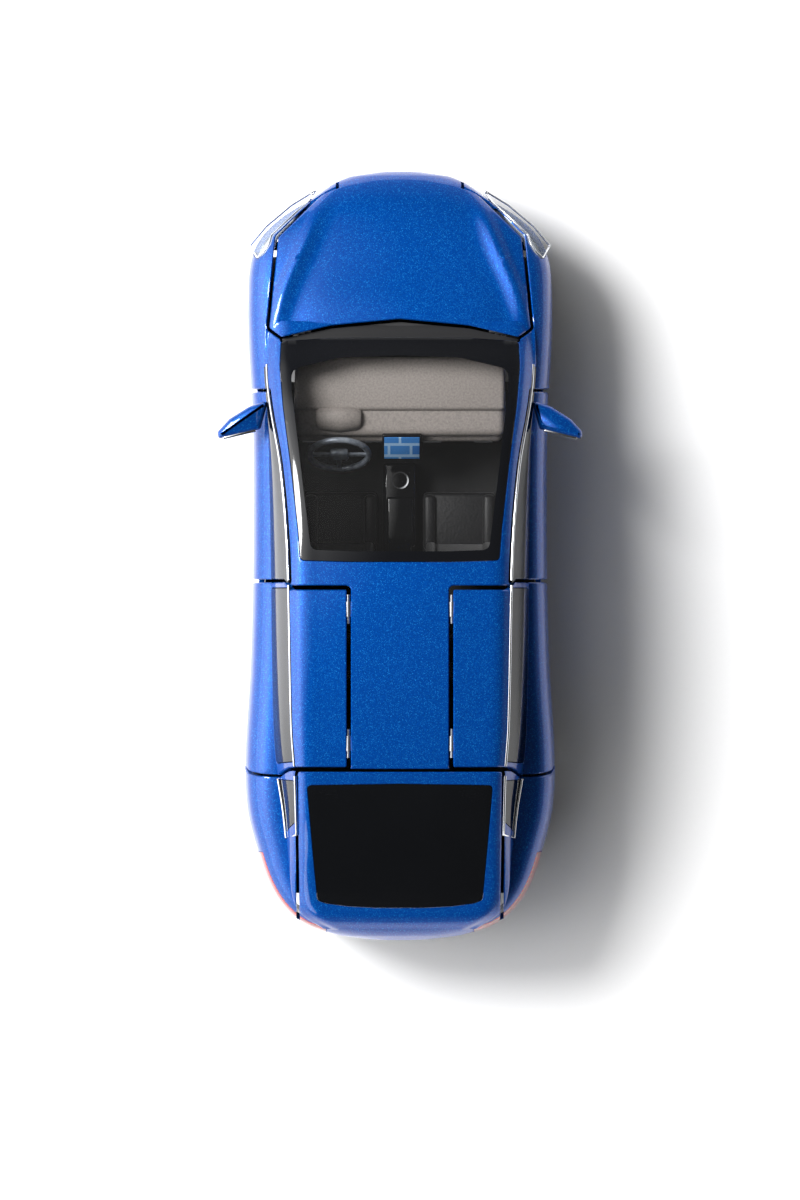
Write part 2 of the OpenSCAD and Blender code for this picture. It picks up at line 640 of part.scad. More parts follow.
// Hinge arms of the tailgate and the bonnet, each with a bored eye
arm_w = 2.4;
arm_t = 0.8;
eye_r = lid_pin_d / 2 + 0.35;
lid_pin_l = arm_w + 2 * (ear_gap + ear_t);
module tailgate_hinge_arms() color("#3a3c40") left_and_right()
    translate([tailgate_arm_x, tailgate_axis_y, tailgate_axis_z]) difference() {
        union() {
            across(0, 0, 0) cylinder(r = eye_r, h = arm_w, center = true, $fn = 32);
            translate([-arm_w / 2, 0, -eye_r - 0.3]) cube([arm_w, 1.2, arm_t]);
        }
        across(0, 0, 0) cylinder(r = lid_pin_d / 2 + run_gap, h = 2 * arm_w, center = true, $fn = 32);
    }
module bonnet_hinge_arms() color("#3a3c40") left_and_right()
    translate([bonnet_arm_x, bonnet_axis_y, bonnet_axis_z]) difference() {
        union() {
            across(0, 0, 0) cylinder(r = eye_r, h = arm_w, center = true, $fn = 32);
            translate([-arm_w / 2, -1.6, -eye_r - 0.3]) cube([arm_w, 1.6, arm_t]);
        }
        across(0, 0, 0) cylinder(r = lid_pin_d / 2 + run_gap, h = 2 * arm_w, center = true, $fn = 32);
    }
module lid_pins(grow) left_and_right() {
    across(tailgate_arm_x, tailgate_axis_y, tailgate_axis_z)
        cylinder(r = lid_pin_d / 2 + grow, h = lid_pin_l + 2 * grow, center = true, $fn = 32);
    across(bonnet_arm_x, bonnet_axis_y, bonnet_axis_z)
        cylinder(r = lid_pin_d / 2 + grow, h = lid_pin_l + 2 * grow, center = true, $fn = 32);
}
module lid_hinge_pins() color("#8c9094") lid_pins(0);
module door_hinge_pins() color("#8c9094") left_and_right()
    translate([door_axis_x, door_axis_y, door_lug_z])
        cylinder(d = door_pin_d, h = door_pin_top_z - door_lug_z, $fn = 32);

// ---- cabin ---------------------------------------------------------------------
tub_t = 1.4;
tub_half_w = 23.2 * sx;
tub_floor_z = chassis_top + 2.4;
motor_top_z = axle_z + 15;
deck_z = motor_top_z + 0.6;
tub_front_y = along(-35);
deck_front_y = rear_axle_y - 29;
tub_rear_y = along(68);
tub_rear_half_w = 19 * sx;
tub_side_h = 6;
door_lug_r = 0.85;
door_lug_h = 1.6;
door_lug_z = card_low_z - door_lug_h - 0.2;
module cabin_tub() color("#202022") {
    // floor, front wall, step up to the rear deck, and low sides
    translate([-tub_half_w, tub_front_y, tub_floor_z])
        cube([2 * tub_half_w, deck_front_y - tub_front_y, tub_t]);
    translate([-tub_half_w, tub_front_y, tub_floor_z]) cube([2 * tub_half_w, tub_t, 30 * sz - tub_floor_z]);
    translate([0.2 - tub_half_w, deck_front_y - tub_t, tub_floor_z])
        cube([2 * tub_half_w - 0.4, tub_t, deck_z + tub_t / 2 - tub_floor_z]);
    translate([0, 0, deck_z]) linear_extrude(tub_t) polygon([[-tub_half_w, deck_front_y - tub_t - 0.3],
        [tub_half_w, deck_front_y - tub_t - 0.3], [tub_half_w, along(52)], [tub_rear_half_w, tub_rear_y],
        [-tub_rear_half_w, tub_rear_y], [-tub_half_w, along(52)]]);
    left_and_right() {
        translate([tub_half_w - tub_t, tub_front_y, tub_floor_z])
            cube([tub_t, deck_front_y - tub_front_y, tub_side_h]);
        // lug that carries the front door's pin
        difference() {
            union() {
                translate([tub_half_w - 0.2, door_axis_y - door_lug_r, door_lug_z])
                    cube([door_axis_x - tub_half_w + 0.2, 2 * door_lug_r, door_lug_h]);
                translate([door_axis_x, door_axis_y, door_lug_z])
                    cylinder(r = door_lug_r, h = door_lug_h, $fn = 32);
            }
            translate([door_axis_x, door_axis_y, 0]) cylinder(r = door_pin_d / 2 + fit, h = far, $fn = 32);
        }
    }
}

trunk_half_w = 20 * sx;
module front_trunk_tub() color("#202022") difference() {
    translate([-trunk_half_w, along(-64), 17 * sz])
        cube([2 * trunk_half_w, along(-48) - along(-64), 9 * sz]);
    translate([-trunk_half_w + tub_t, along(-64) + tub_t, 17 * sz + tub_t])
        cube([2 * trunk_half_w - 2 * tub_t, along(-48) - along(-64) - 2 * tub_t, 9 * sz]);
}

dash_rear_y = along(-23);
dash_top_z = 31 * sz;
knee_r = 8;
wheel_tilt = 62;
column_r = 0.9;
column_l = 6.2;
ring_r = 6;
ring_t = 0.75;
SCREEN = [7.2, 0.9, 6.8];
module at_wheel() translate([12.4 * sx, along(-20.5), 28.4 * sz]) rotate([180 - wheel_tilt, 0, 0]) children();
module at_screen() translate([-0.4 * sx, dash_rear_y + 0.5, 29 * sz]) rotate([-20, 0, 0]) children();
module dashboard() color("#8a8680") {
    difference() {
        translate([-21.5 * sx, tub_front_y + tub_t + 0.1, 20 * sz])
            cube([43 * sx, dash_rear_y - tub_front_y - tub_t - 0.1, dash_top_z - 20 * sz]);
        across(0, dash_rear_y + 3, 17 * sz) cylinder(r = knee_r, h = 60 * sx, center = true, $fn = 48);
        at_wheel() cylinder(r = column_r + fit, h = column_l + fit, $fn = 32);
        at_screen() translate([-SCREEN[0] / 2 - fit, -fit, -SCREEN[2] / 2 - fit])
            cube([SCREEN[0] + 2 * fit, far, SCREEN[2] + 2 * fit]);
    }
    translate([12.5 * sx, along(-31), dash_top_z - 0.01]) scale([1.6, 1, 0.5])
        cylinder(r1 = 3.4, r2 = 2.2, h = 3, $fn = 32);
}
module steering_wheel() color("#2a2a2c") at_wheel() {
    rotate_extrude($fn = 48) translate([ring_r, 0]) circle(r = ring_t, $fn = 16);
    cylinder(r = 1.9, h = 1.4, center = true, $fn = 32);
    cylinder(r = column_r, h = column_l, $fn = 32);
    translate([-5.6, -0.6, -0.5]) cube([11.2, 1.2, 1]);
    translate([-0.6, -5.6, -0.5]) cube([1.2, 5.6, 1]);
}
module centre_screen() color("#2c6cb0") at_screen() translate([-SCREEN[0] / 2, 0, -SCREEN[2] / 2])
    cube(SCREEN);

console_half_w = 3.4 * sx;
module centre_console() color("#101012") {
    translate([-console_half_w, along(-19), tub_floor_z + tub_t + fit])
        cube([2 * console_half_w, along(1) - along(-19), 6]);
    translate([-console_half_w + 0.6, along(-14), tub_floor_z + tub_t + fit + 6])
        cube([2 * console_half_w - 1.2, along(-2) - along(-14), 1.2]);
}

seat_w = 15;
// One seat: cushion, leaning back and headrest
module seat(w, cushion_l, back_h) {
    translate([-w / 2, 0, 0]) cube([w, cushion_l, 4]);
    translate([0, cushion_l, 2]) rotate([-14, 0, 0]) {
        translate([-w / 2 + 0.5, -3, 0]) cube([w - 1, 3, back_h]);
        translate([-w / 4, -2.6, back_h - 0.5]) cube([w / 2, 2.2, 4.5]);
    }
}
module front_seats() color("#141416") left_and_right()
    translate([12.2 * sx, along(-13), tub_floor_z + tub_t + fit]) seat(seat_w * min(sx, 1), 13, 18);
module middle_seats() color("#141416") left_and_right()
    translate([12 * sx, along(16), deck_z + tub_t + fit]) seat(seat_w * min(sx, 1), 8, 9);
module rear_seats() color("#141416") left_and_right()
    translate([8.4 * sx, along(47), deck_z + tub_t + fit]) seat(11, 7, 5);

// ---- chassis, axles, wheels -------------------------------------------------------
wheel_in_x = track_w / 2 - tyre_w;
well_x = wheel_in_x - 1.2;
chassis_fit = shell_wall + 1.1;
motor_half_w = motor_w / 2 + case_wall;
bearing_x = 15 * sx;
bearing_w = 3;
bearing_r = axle_d / 2 + 1.4;
display_hole_r = 1.6;
display_boss_r = 3.2;
display_boss_h = 3.4;
DISPLAY_U = [-24, 3];
module chassis_plate() color("#18181a") difference() {
    union() {
        translate([0, 0, chassis_z]) linear_extrude(chassis_t) floor_outline(chassis_fit);
        left_and_right() translate([bearing_x, front_axle_y, chassis_z]) {
            translate([-bearing_w / 2, -bearing_r, 0]) cube([bearing_w, 2 * bearing_r, axle_z - chassis_z]);
            translate([0, 0, axle_z - chassis_z]) rotate([0, 90, 0])
                cylinder(r = bearing_r, h = bearing_w, center = true, $fn = 48);
        }
        for (u = DISPLAY_U) translate([0, along(u), chassis_z])
            cylinder(r = display_boss_r, h = display_boss_h, $fn = 48);
    }
    for (y = [front_axle_y, rear_axle_y]) left_and_right()
        translate([well_x, y - arch_r, -1]) cube([far, 2 * arch_r, far]);
    translate([0, front_axle_y, axle_z]) rotate([0, 90, 0])
        cylinder(r = axle_d / 2 + run_gap, h = 2 * far, center = true, $fn = 48);
    for (p = [FRONT_POST, REAR_POST]) left_and_right()
        translate([p[0] * sx, along(p[1]), 0]) cylinder(r = post_hole_r + 0.1, h = far, $fn = 32);
    for (u = DISPLAY_U) translate([0, along(u), 0]) cylinder(r = display_hole_r, h = far, $fn = 48);
}
module chassis_screws() color("#8c9094") for (p = [FRONT_POST, REAR_POST]) left_and_right()
    translate([p[0] * sx, along(p[1]), chassis_z]) difference() {
        union() {
            translate([0, 0, -1.04]) cylinder(r = 2, h = 1, $fn = 32);
            translate([0, 0, -0.1]) cylinder(r = post_hole_r - 0.08, h = 7, $fn = 32);
        }
        for (a = [0, 90]) rotate([0, 0, a]) translate([-1.2, -0.2, -1.6]) cube([2.4, 0.4, 1]);
    }

rim_back = 0.4;
axle_seat = tyre_w - 3;
axle_len = 2 * (wheel_in_x + rim_back + axle_seat);
module axle_bar(y) translate([0, y, axle_z]) rotate([0, 90, 0])
    cylinder(d = axle_d, h = axle_len, center = true, $fn = 48);
module front_axle() color("#b0b4b8") axle_bar(front_axle_y);
module rear_axle() color("#b0b4b8") axle_bar(rear_axle_y);

tyre_wall_r = 1.1;
module tyre_pair(y) color("#161616") left_and_right()
    translate([wheel_in_x, y, axle_z]) rotate([0, 90, 0]) rotate_extrude($fn = 96) difference() {
        polygon([[rim_d / 2 + 0.02, 0], [wheel_r - tyre_wall_r, 0], [wheel_r, tyre_wall_r],
            [wheel_r, tyre_w - tyre_wall_r], [wheel_r - tyre_wall_r, tyre_w], [rim_d / 2 + 0.02, tyre_w]]);
        for (x = [0.32, 0.5, 0.68]) translate([wheel_r - 0.5, tyre_w * x - 0.25]) square([1, 0.5]);
    }
spoke_count = 5;
module rim_pair(y) color("#9aa0a6") left_and_right()
    translate([wheel_in_x + rim_back, y, axle_z]) rotate([0, 90, 0]) difference() {
        union() {
            rotate_extrude($fn = 96) polygon([[rim_d / 2 - 1.2, 0], [rim_d / 2, 0],
                [rim_d / 2, tyre_w - 0.8], [rim_d / 2 - 1.2, tyre_w - 0.8]]);
            translate([0, 0, tyre_w - 3.6]) cylinder(r = 2.4, h = 2.2, $fn = 48);
            translate([0, 0, 1]) cylinder(r = axle_d / 2 + 1, h = tyre_w - 3, $fn = 48);
            for (a = [0:spoke_count - 1]) rotate([0, 0, a * 360 / spoke_count])
                translate([1, -0.9, tyre_w - 3.4]) cube([rim_d / 2 - 1.6, 1.8, 1.5]);
        }
        translate([0, 0, -1]) cylinder(r = axle_d / 2 + 0.01, h = axle_seat + 1 + fit, $fn = 48);
    }
module front_rims() rim_pair(front_axle_y);
module rear_rims() rim_pair(rear_axle_y);
module front_tyres() tyre_pair(front_axle_y);
module rear_tyres() tyre_pair(rear_axle_y);

// ---- pull-back motor ---------------------------------------------------------------
pinion_teeth = 12;
big_teeth = 24;
small_teeth = 10;
spring_teeth = 30;
pressure = 25;
addendum = 0.8;
dedendum = 1.05;
backlash = 0.12;
gear_w = 2.5;
first_dist = gear_m * (pinion_teeth + big_teeth) / 2 + 0.02;
second_dist = gear_m * (small_teeth + spring_teeth) / 2 + 0.02;
first_rise = 19.4;
second_rise = 16;
PINION_AT = [rear_axle_y, axle_z];
MIDDLE_AT = [rear_axle_y - first_dist * cos(first_rise), axle_z + first_dist * sin(first_rise)];
SPRING_AT = [MIDDLE_AT[0] - second_dist * cos(second_rise), MIDDLE_AT[1] + second_dist * sin(second_rise)];
arbor_r = 1.2;

function involute(rb, r) = let (c = rb / r, t = acos(min(c, 1))) tan(t) * 180 / PI - t;
// Outline of a spur gear; tooth 0 lies on the +x axis
function gear_points(n) = let (rp = gear_m * n / 2, rb = rp * cos(pressure), ro = rp + addendum * gear_m,
    ri = rp - dedendum * gear_m, half = 90 / n - backlash / 2 / rp * 180 / PI, v = involute(rb, rp),
    rs = max(ri, rb), steps = 4)
    [for (i = [0:n - 1]) let (c = i * 360 / n) each concat(
        [[ri * cos(c - half - v), ri * sin(c - half - v)]],
        [for (k = [0:steps]) let (r = rs + (ro - rs) * k / steps, a = c - half - v + involute(rb, r))
            [r * cos(a), r * sin(a)]],
        [for (k = [steps:-1:0]) let (r = rs + (ro - rs) * k / steps, a = c + half + v - involute(rb, r))
            [r * cos(a), r * sin(a)]],
        [[ri * cos(c + half + v), ri * sin(c + half + v)]])];
module gear(n, turn, x0, w) rotate([90, 0, 90]) translate([0, 0, x0]) rotate([0, 0, turn])
    linear_extrude(w) polygon(gear_points(n));
big_x = 1;
small_x = -4;
function toward(a, b) = atan2(b[1] - a[1], b[0] - a[0]);

module axle_pinion() color("#e0dccf") translate([0, PINION_AT[0], PINION_AT[1]]) difference() {
    gear(pinion_teeth, toward(PINION_AT, MIDDLE_AT), big_x - 0.3, gear_w + 0.6);
    rotate([0, 90, 0]) cylinder(r = axle_d / 2 + 0.01, h = far, center = true, $fn = 48);
}
module intermediate_gear() color("#e0dccf") translate([0, MIDDLE_AT[0], MIDDLE_AT[1]]) {
    gear(big_teeth, toward(MIDDLE_AT, PINION_AT) + 180 / big_teeth, big_x, gear_w);
    gear(small_teeth, toward(MIDDLE_AT, SPRING_AT), small_x - 0.3, big_x - small_x + 0.4);
    rotate([0, 90, 0]) cylinder(d = axle_d, h = motor_w + 1, center = true, $fn = 48);
}
module spring_gear() color("#c8b464") translate([0, SPRING_AT[0], SPRING_AT[1]]) {
    gear(spring_teeth, toward(SPRING_AT, MIDDLE_AT) + 180 / spring_teeth, small_x, gear_w);
    rotate([0, 90, 0]) cylinder(r = arbor_r, h = motor_w + 1, center = true, $fn = 48);
}
spring_coils = 4;
spring_t = 0.35;
spring_out_r = 6.4 * gear_m / 0.5;
spring_steps = 20;
function spiral(r_add) = [for (i = [0:spring_coils * spring_steps]) let (a = i * 360 / spring_steps,
    r = arbor_r + 0.3 + (spring_out_r - arbor_r - 0.3) * i / (spring_coils * spring_steps) + r_add)
    [r * cos(a), r * sin(a)]];
module mainspring() color("#9098a0") translate([-motor_w / 2 + 0.3, SPRING_AT[0], SPRING_AT[1]])
    rotate([90, 0, 90]) linear_extrude(small_x + motor_w / 2 - 0.8)
        polygon(concat(spiral(0), [for (i = [spring_coils * spring_steps:-1:0]) spiral(spring_t)[i]]));

case_low_z = axle_z - 4.7;
case_front_y = SPRING_AT[0] - gear_m * (spring_teeth / 2 + addendum) - 0.7 - case_wall;
case_rear_y = rear_axle_y + gear_m * (pinion_teeth / 2 + addendum) + 0.8 + case_wall;
CASE_SCREWS = [[case_front_y + 1.6, case_low_z + 1.6], [case_rear_y - 1.6, case_low_z + 8.2]];
case_screw_r = 0.7;
// Side view of the case, stepped down over the axle
function case_outline(inset) = [[case_front_y + inset, case_low_z + inset],
    [case_rear_y - inset, case_low_z + inset], [case_rear_y - inset, axle_z + 6.2 - inset],
    [MIDDLE_AT[0] + 4 - inset, motor_top_z - 4 - inset],
    [SPRING_AT[0] + 6 - inset, motor_top_z - inset], [case_front_y + inset, motor_top_z - inset]];
module motor_half() color("#d8d4c8") difference() {
    rotate([90, 0, 90]) linear_extrude(motor_half_w) polygon(case_outline(0));
    translate([-0.01, 0, 0]) rotate([90, 0, 90]) linear_extrude(motor_w / 2 + 0.01) difference() {
        polygon(case_outline(case_wall));
        for (p = CASE_SCREWS) translate(p) circle(r = 1.5, $fn = 32);
    }
    translate([0, PINION_AT[0], PINION_AT[1]]) rotate([0, 90, 0])
        cylinder(r = axle_d / 2 + run_gap, h = far, center = true, $fn = 48);
    translate([0, MIDDLE_AT[0], MIDDLE_AT[1]]) rotate([0, 90, 0])
        cylinder(r = axle_d / 2 + run_gap, h = motor_w + 1.2, center = true, $fn = 48);
    translate([0, SPRING_AT[0], SPRING_AT[1]]) rotate([0, 90, 0])
        cylinder(r = arbor_r + run_gap, h = motor_w + 1.2, center = true, $fn = 48);
    for (p = CASE_SCREWS) translate([0, p[0], p[1]]) rotate([0, 90, 0])
        cylinder(r = case_screw_r + 0.05, h = far, center = true, $fn = 32);
}
module motor_case_left() translate([0.02, 0, 0]) motor_half();
module motor_case_right() translate([-0.02, 0, 0]) mirror([1, 0, 0]) motor_half();
module motor_screws() color("#8c9094") for (p = CASE_SCREWS) translate([0, p[0], p[1]]) rotate([0, 90, 0]) {
    cylinder(r = case_screw_r, h = 2 * motor_half_w - 1, center = true, $fn = 32);
    translate([0, 0, motor_half_w + 0.06]) cylinder(r = 1.3, h = 0.8, $fn = 32);
    translate([0, 0, motor_half_w - 1]) cylinder(r = case_screw_r, h = 1.1, $fn = 32);
}

// ---- what is drawn ------------------------------------------------------------------
body_shell();
front_grille();
rear_diffuser();
cowl_panel();
windscreen();
quarter_windows();
window_trims();
headlight_lenses();
headlight_reflectors();
tail_lights();
front_trunk_tub();
cabin_tub();
dashboard();
steering_wheel();
centre_screen();
centre_console();
front_seats();
middle_seats();
rear_seats();
chassis_plate();
chassis_screws();
motor_case_left();
motor_case_right();
motor_screws();
mainspring();
lid_hinge_pins();
door_hinge_pins();
wing_hinge_pins();
bonnet();
bonnet_hinge_arms();
front_door_left();
front_door_right();
front_door_card_left();
front_door_card_right();
front_door_glass_left();
front_door_glass_right();
mirror_left();
mirror_right();
mirror_glass_left();
mirror_glass_right();
wing_door_left();
wing_door_right();
wing_door_glass_left();
wing_door_glass_right();
wing_hinge_left();
wing_hinge_right();
tailgate();
rear_glass();
tailgate_lights();
tailgate_hinge_arms();
front_axle();
front_rims();
front_tyres();
rear_axle();
axle_pinion();
rear_rims();
rear_tyres();
intermediate_gear();
spring_gear();
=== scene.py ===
import json
import math

import bmesh
import bpy
import numpy as np
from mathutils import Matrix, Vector


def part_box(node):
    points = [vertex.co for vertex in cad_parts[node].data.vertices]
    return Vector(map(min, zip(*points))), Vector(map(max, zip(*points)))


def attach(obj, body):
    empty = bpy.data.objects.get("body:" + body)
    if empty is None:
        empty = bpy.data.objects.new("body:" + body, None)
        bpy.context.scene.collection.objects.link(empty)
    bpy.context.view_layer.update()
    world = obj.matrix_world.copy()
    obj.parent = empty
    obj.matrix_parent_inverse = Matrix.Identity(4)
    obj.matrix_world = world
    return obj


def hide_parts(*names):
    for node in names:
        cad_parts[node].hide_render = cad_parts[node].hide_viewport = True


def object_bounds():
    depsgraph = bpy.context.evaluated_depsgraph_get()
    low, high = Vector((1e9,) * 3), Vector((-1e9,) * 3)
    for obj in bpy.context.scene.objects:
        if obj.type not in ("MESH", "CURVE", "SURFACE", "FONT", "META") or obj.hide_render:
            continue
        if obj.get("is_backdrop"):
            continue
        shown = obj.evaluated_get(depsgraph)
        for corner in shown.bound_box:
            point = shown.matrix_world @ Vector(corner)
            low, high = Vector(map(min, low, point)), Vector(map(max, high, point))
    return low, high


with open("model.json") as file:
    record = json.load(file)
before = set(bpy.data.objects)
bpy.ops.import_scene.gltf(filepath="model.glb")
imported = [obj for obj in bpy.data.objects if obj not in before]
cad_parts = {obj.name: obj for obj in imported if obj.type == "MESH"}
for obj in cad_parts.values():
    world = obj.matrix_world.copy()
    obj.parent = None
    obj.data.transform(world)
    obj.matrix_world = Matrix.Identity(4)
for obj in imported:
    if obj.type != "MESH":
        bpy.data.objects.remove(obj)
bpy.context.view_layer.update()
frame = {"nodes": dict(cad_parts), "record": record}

bl_info = {
    "name": "Pull back car",
    "version": (1, 0, 0),
    "blender": (4, 5, 0),
    "location": "View3D > Sidebar > Pull back car",
    "description": "Builds the bodywork, glazing, cabin and wheels of a die-cast pull back car",
    "category": "Add Mesh",
}

MM = 0.001
BODY_LOW, BODY_HIGH = [Vector(corner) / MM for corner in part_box("body_shell")]
# Shapes are drawn at the nominal proportions and stretched to the frame's body
NOMINAL_LENGTH, NOMINAL_WIDTH, NOMINAL_HEIGHT = 157.0, 63.4, 52.0
SX = (BODY_HIGH.x - BODY_LOW.x) / NOMINAL_WIDTH
SY = (BODY_HIGH.y - BODY_LOW.y) / NOMINAL_LENGTH
SZ = BODY_HIGH.z / NOMINAL_HEIGHT


# ---- settings -------------------------------------------------------------------
class CarSizes(bpy.types.PropertyGroup):
    wall: bpy.props.FloatProperty(
        name="Shell wall", description="Thickness of the die-cast shell", default=1.1 * MM,
        min=0.6 * MM, max=1.4 * MM, unit="LENGTH", precision=5)
    seam: bpy.props.FloatProperty(
        name="Panel seam", description="Gap round each opening panel", default=0.62 * MM,
        min=0.3 * MM, max=1.0 * MM, unit="LENGTH", precision=5)
    lip: bpy.props.FloatProperty(
        name="Panel lip", description="Bevel along each panel edge", default=0.22 * MM,
        min=0.05 * MM, max=0.4 * MM, unit="LENGTH", precision=5)
    trim: bpy.props.FloatProperty(
        name="Trim radius", description="Radius of the bright window line", default=0.3 * MM,
        min=0.1 * MM, max=0.5 * MM, unit="LENGTH", precision=5)
    flake_glint: bpy.props.FloatProperty(
        name="Paint flake", description="Size of one flake in the paint, drawn coarse enough to show",
        default=0.11 * MM, min=0.05 * MM, max=0.6 * MM, unit="LENGTH", precision=5)


def linear(code):
    """Turns an sRGB hex code into linear red, green and blue."""
    values = [int(code[i:i + 2], 16) / 255 for i in (0, 2, 4)]
    return tuple(v / 12.92 if v <= 0.04045 else ((v + 0.055) / 1.055) ** 2.4 for v in values)


def colour(name, description, code):
    return bpy.props.FloatVectorProperty(
        name=name, description=description, default=linear(code), size=3, min=0, max=1, subtype="COLOR")


class CarColours(bpy.types.PropertyGroup):
    paint: colour("Paint", "Metallic blue under the clear coat", "004498")
    paint_deep: colour("Deep paint", "Blue between the flakes", "003A86")
    # The flakes' colour here stands for their painted glints; it also tints the paint's specular shine.
    flake_glint: colour("Flakes", "Aluminium flakes in the paint", "1A7CCC")
    gloss_black: colour("Gloss black", "Polished black plastic and window print", "0B0C0F")
    satin_black: colour("Satin black", "Moulded black plastic", "131315")
    dash: colour("Dashboard", "Warm grey moulded plastic", "A79F99")
    leather: colour("Seats", "Black moulded seats with a leather grain", "0E0E10")
    red: colour("Tail lamp", "Clear red plastic", "A80C14")
    rubber: colour("Tyre", "Moulded black rubber", "17171A")
    nylon: colour("Gear nylon", "Natural nylon", "D9D3C2")


# ---- smooth curves of the bodywork --------------------------------------------------
def curve(table, u):
    """A smooth curve through a few [station, value] points."""
    index = 0
    while index < len(table) - 2 and u >= table[index + 1][0]:
        index += 1

    def slope(i):
        a, b = table[max(i - 1, 0)], table[min(i + 1, len(table) - 1)]
        return (b[1] - a[1]) / (b[0] - a[0])

    (u0, a), (u1, b) = table[index], table[index + 1]
    step = u1 - u0
    s = min(max((u - u0) / step, 0), 1)
    m, n = slope(index) * step, slope(index + 1) * step
    return a + s * (m + s * (3 * (b - a) - 2 * m - n + s * (2 * (a - b) + m + n)))


HALF_W = [(-78.5, 5), (-77.6, 10.6), (-76, 14), (-73, 18.2), (-69, 24.4), (-65, 28.4), (-60, 30.6),
          (-52, 31.2), (-42, 31), (-28, 30.2), (0, 30.1), (22, 30.6), (42, 31.7), (52, 31.2),
          (60, 29.2), (67, 26.8), (72, 23.6), (75.5, 19.2), (77.6, 13), (78.5, 7)]
DECK = [(-78.5, 21.5), (-77.6, 23.8), (-76, 25.4), (-72, 27.8), (-66, 29.9), (-58, 32), (-48, 34.5),
        (-40, 34.6), (0, 34.6), (40, 35.6), (66, 35.8), (74, 35.2), (77, 32.6), (78.5, 28.5)]
SHOULDER = [(-78.5, 20.5), (-76, 24), (-72, 26), (-66, 28), (-58, 30.2), (-48, 32.3), (-36, 33.2),
            (0, 33.6), (30, 34.4), (50, 34.8), (66, 34.2), (74, 32.6), (77, 30), (78.5, 26.5)]
SILL = [(-78.5, 9.5), (-76, 7.6), (-68, 6.4), (66, 6.4), (74, 8), (78.5, 12)]
ROOF = [(-47.5, 34.2), (-44, 36), (-38, 39.6), (-30, 43.6), (-18, 48), (-5, 50.9), (6, 51.8),
        (14, 51.98), (25, 51.7), (34, 50.9), (43, 49.6), (52, 46.8), (62, 42.8), (70, 39.6), (74, 38),
        (76, 35.6)]
RAIL_X = [(-47.5, 26.6), (-38, 27), (-30, 26.2), (-18.6, 24.2), (-5, 22.9), (7, 22.4), (35, 21.8),
          (44, 21.2), (58, 20.9), (69, 20.8), (73, 18.9), (76, 14)]
RAIL_DROP = [(-47.5, 1.8), (-38, 4.5), (-30, 4.6), (-18, 3.6), (-5, 3), (7, 2.6), (25, 2.3), (76, 1.8)]
BELT_X = [(-47.5, 27.2), (-38, 27.4), (-30, 27), (-18, 26.6), (0, 26.3), (25, 26), (40, 25.4),
          (52, 23.6), (62, 22.6), (69, 21.9), (73, 20), (76, 15.5)]
BELT_Z = [(-47.5, 32.4), (-38, 33.6), (0, 34.2), (30, 35), (50, 36), (60, 36.6), (70, 36), (76, 33.5)]
# The raised crease along each side of the bonnet: place across, and how proud it stands
CREASE_X = [(-76, 14.5), (-72.4, 16.3), (-62.2, 20.5), (-54.4, 23.7), (-46, 26)]
CREASE_RISE = [(-76, 0), (-71, 0.55), (-62, 0.95), (-50, 0.85), (-43, 0.2), (-38, 0)]


def eased(points, steps):
    """A smooth line through points, which turns evenly at each one."""
    pts = np.array(points, float)
    ends = np.vstack([2 * pts[0] - pts[1], pts, 2 * pts[-1] - pts[-2]])
    line = []
    for i in range(1, len(ends) - 2):
        a, b, c, d = ends[i - 1:i + 3]
        for t in np.arange(steps) / steps:
            line.append(b + 0.5 * t * (c - a + t * (2 * a - 5 * b + 4 * c - d + t * (3 * (b - c) + d - a))))
    line.append(pts[-1])
    return np.array(line)


def lower_half(u):
    w, t, s, f = (curve(table, u) for table in (HALF_W, DECK, SHOULDER, SILL))
    h = s - f
    across = [(-0.45, t - 0.15 * (t - s)), (0, t), (0.45, t - 0.15 * (t - s)), (0.7, t - 0.5 * (t - s)),
              (0.86, s), (0.945, s - 0.07 * h), (0.985, s - 0.18 * h), (1, s - 0.36 * h),
              (0.99, s - 0.72 * h), (0.94, f)]
    line = eased([(x * w, z) for x, z in across], 7)[7:]
    if u < CREASE_RISE[-1][0]:
        away = line[:, 0] - curve(CREASE_X, u)
        width = np.where(away < 0, 2.3, 1.0)
        line[:, 1] += curve(CREASE_RISE, u) * np.exp(-(away / width) ** 2)
    return line


def upper_half(u, drop):
    z, d, x, b, c = (curve(table, u) for table in (ROOF, RAIL_DROP, RAIL_X, BELT_X, BELT_Z))
    roof = eased([(-0.35 * x, z - 0.04 * d), (0, z), (0.35 * x, z - 0.04 * d), (0.7 * x, z - 0.18 * d),
                  (0.9 * x, z - 0.36 * d), (x, z - d)], 6)[6:]
    side = eased([(x, z - d), ((x + b) / 2 + 0.4, (z - d + c) / 2), (b, c)], 5)[1:]
    return np.vstack([roof, side, [(b, c - drop / 2), (b, c - drop)]])


def top_z(x, u):
    """Height of the outer surface at a place seen from above, in millimetres."""
    x = abs(x)
    low, high = lower_half(u), 0
    edge = int(np.argmax(low[:, 0]))
    z = float(np.interp(x, low[:edge + 1, 0], low[:edge + 1, 1]))
    if ROOF[0][0] <= u <= ROOF[-1][0]:
        up = upper_half(u, 3)
        high = float(np.interp(x, up[:, 0], up[:, 1])) if x <= up[-1, 0] else 0
    return max(z, high)


def side_x(u, z):
    """Place across of the outer surface at a height seen from the side, in millimetres."""
    low = lower_half(u)
    edge = int(np.argmax(low[:, 1] < curve(SHOULDER, u) + 0.01))
    wall = low[edge:][::-1]
    if z <= wall[-1, 1]:
        return float(np.interp(z, wall[:, 1], wall[:, 0]))
    up = upper_half(u, 3)[20:][::-1]
    return float(np.interp(z, up[:, 1], up[:, 0]))


# ---- meshes ------------------------------------------------------------------------
def deselect():
    if bpy.context.object and bpy.context.object.mode != "OBJECT":
        bpy.ops.object.mode_set(mode="OBJECT")
    bpy.ops.object.select_all(action="DESELECT")


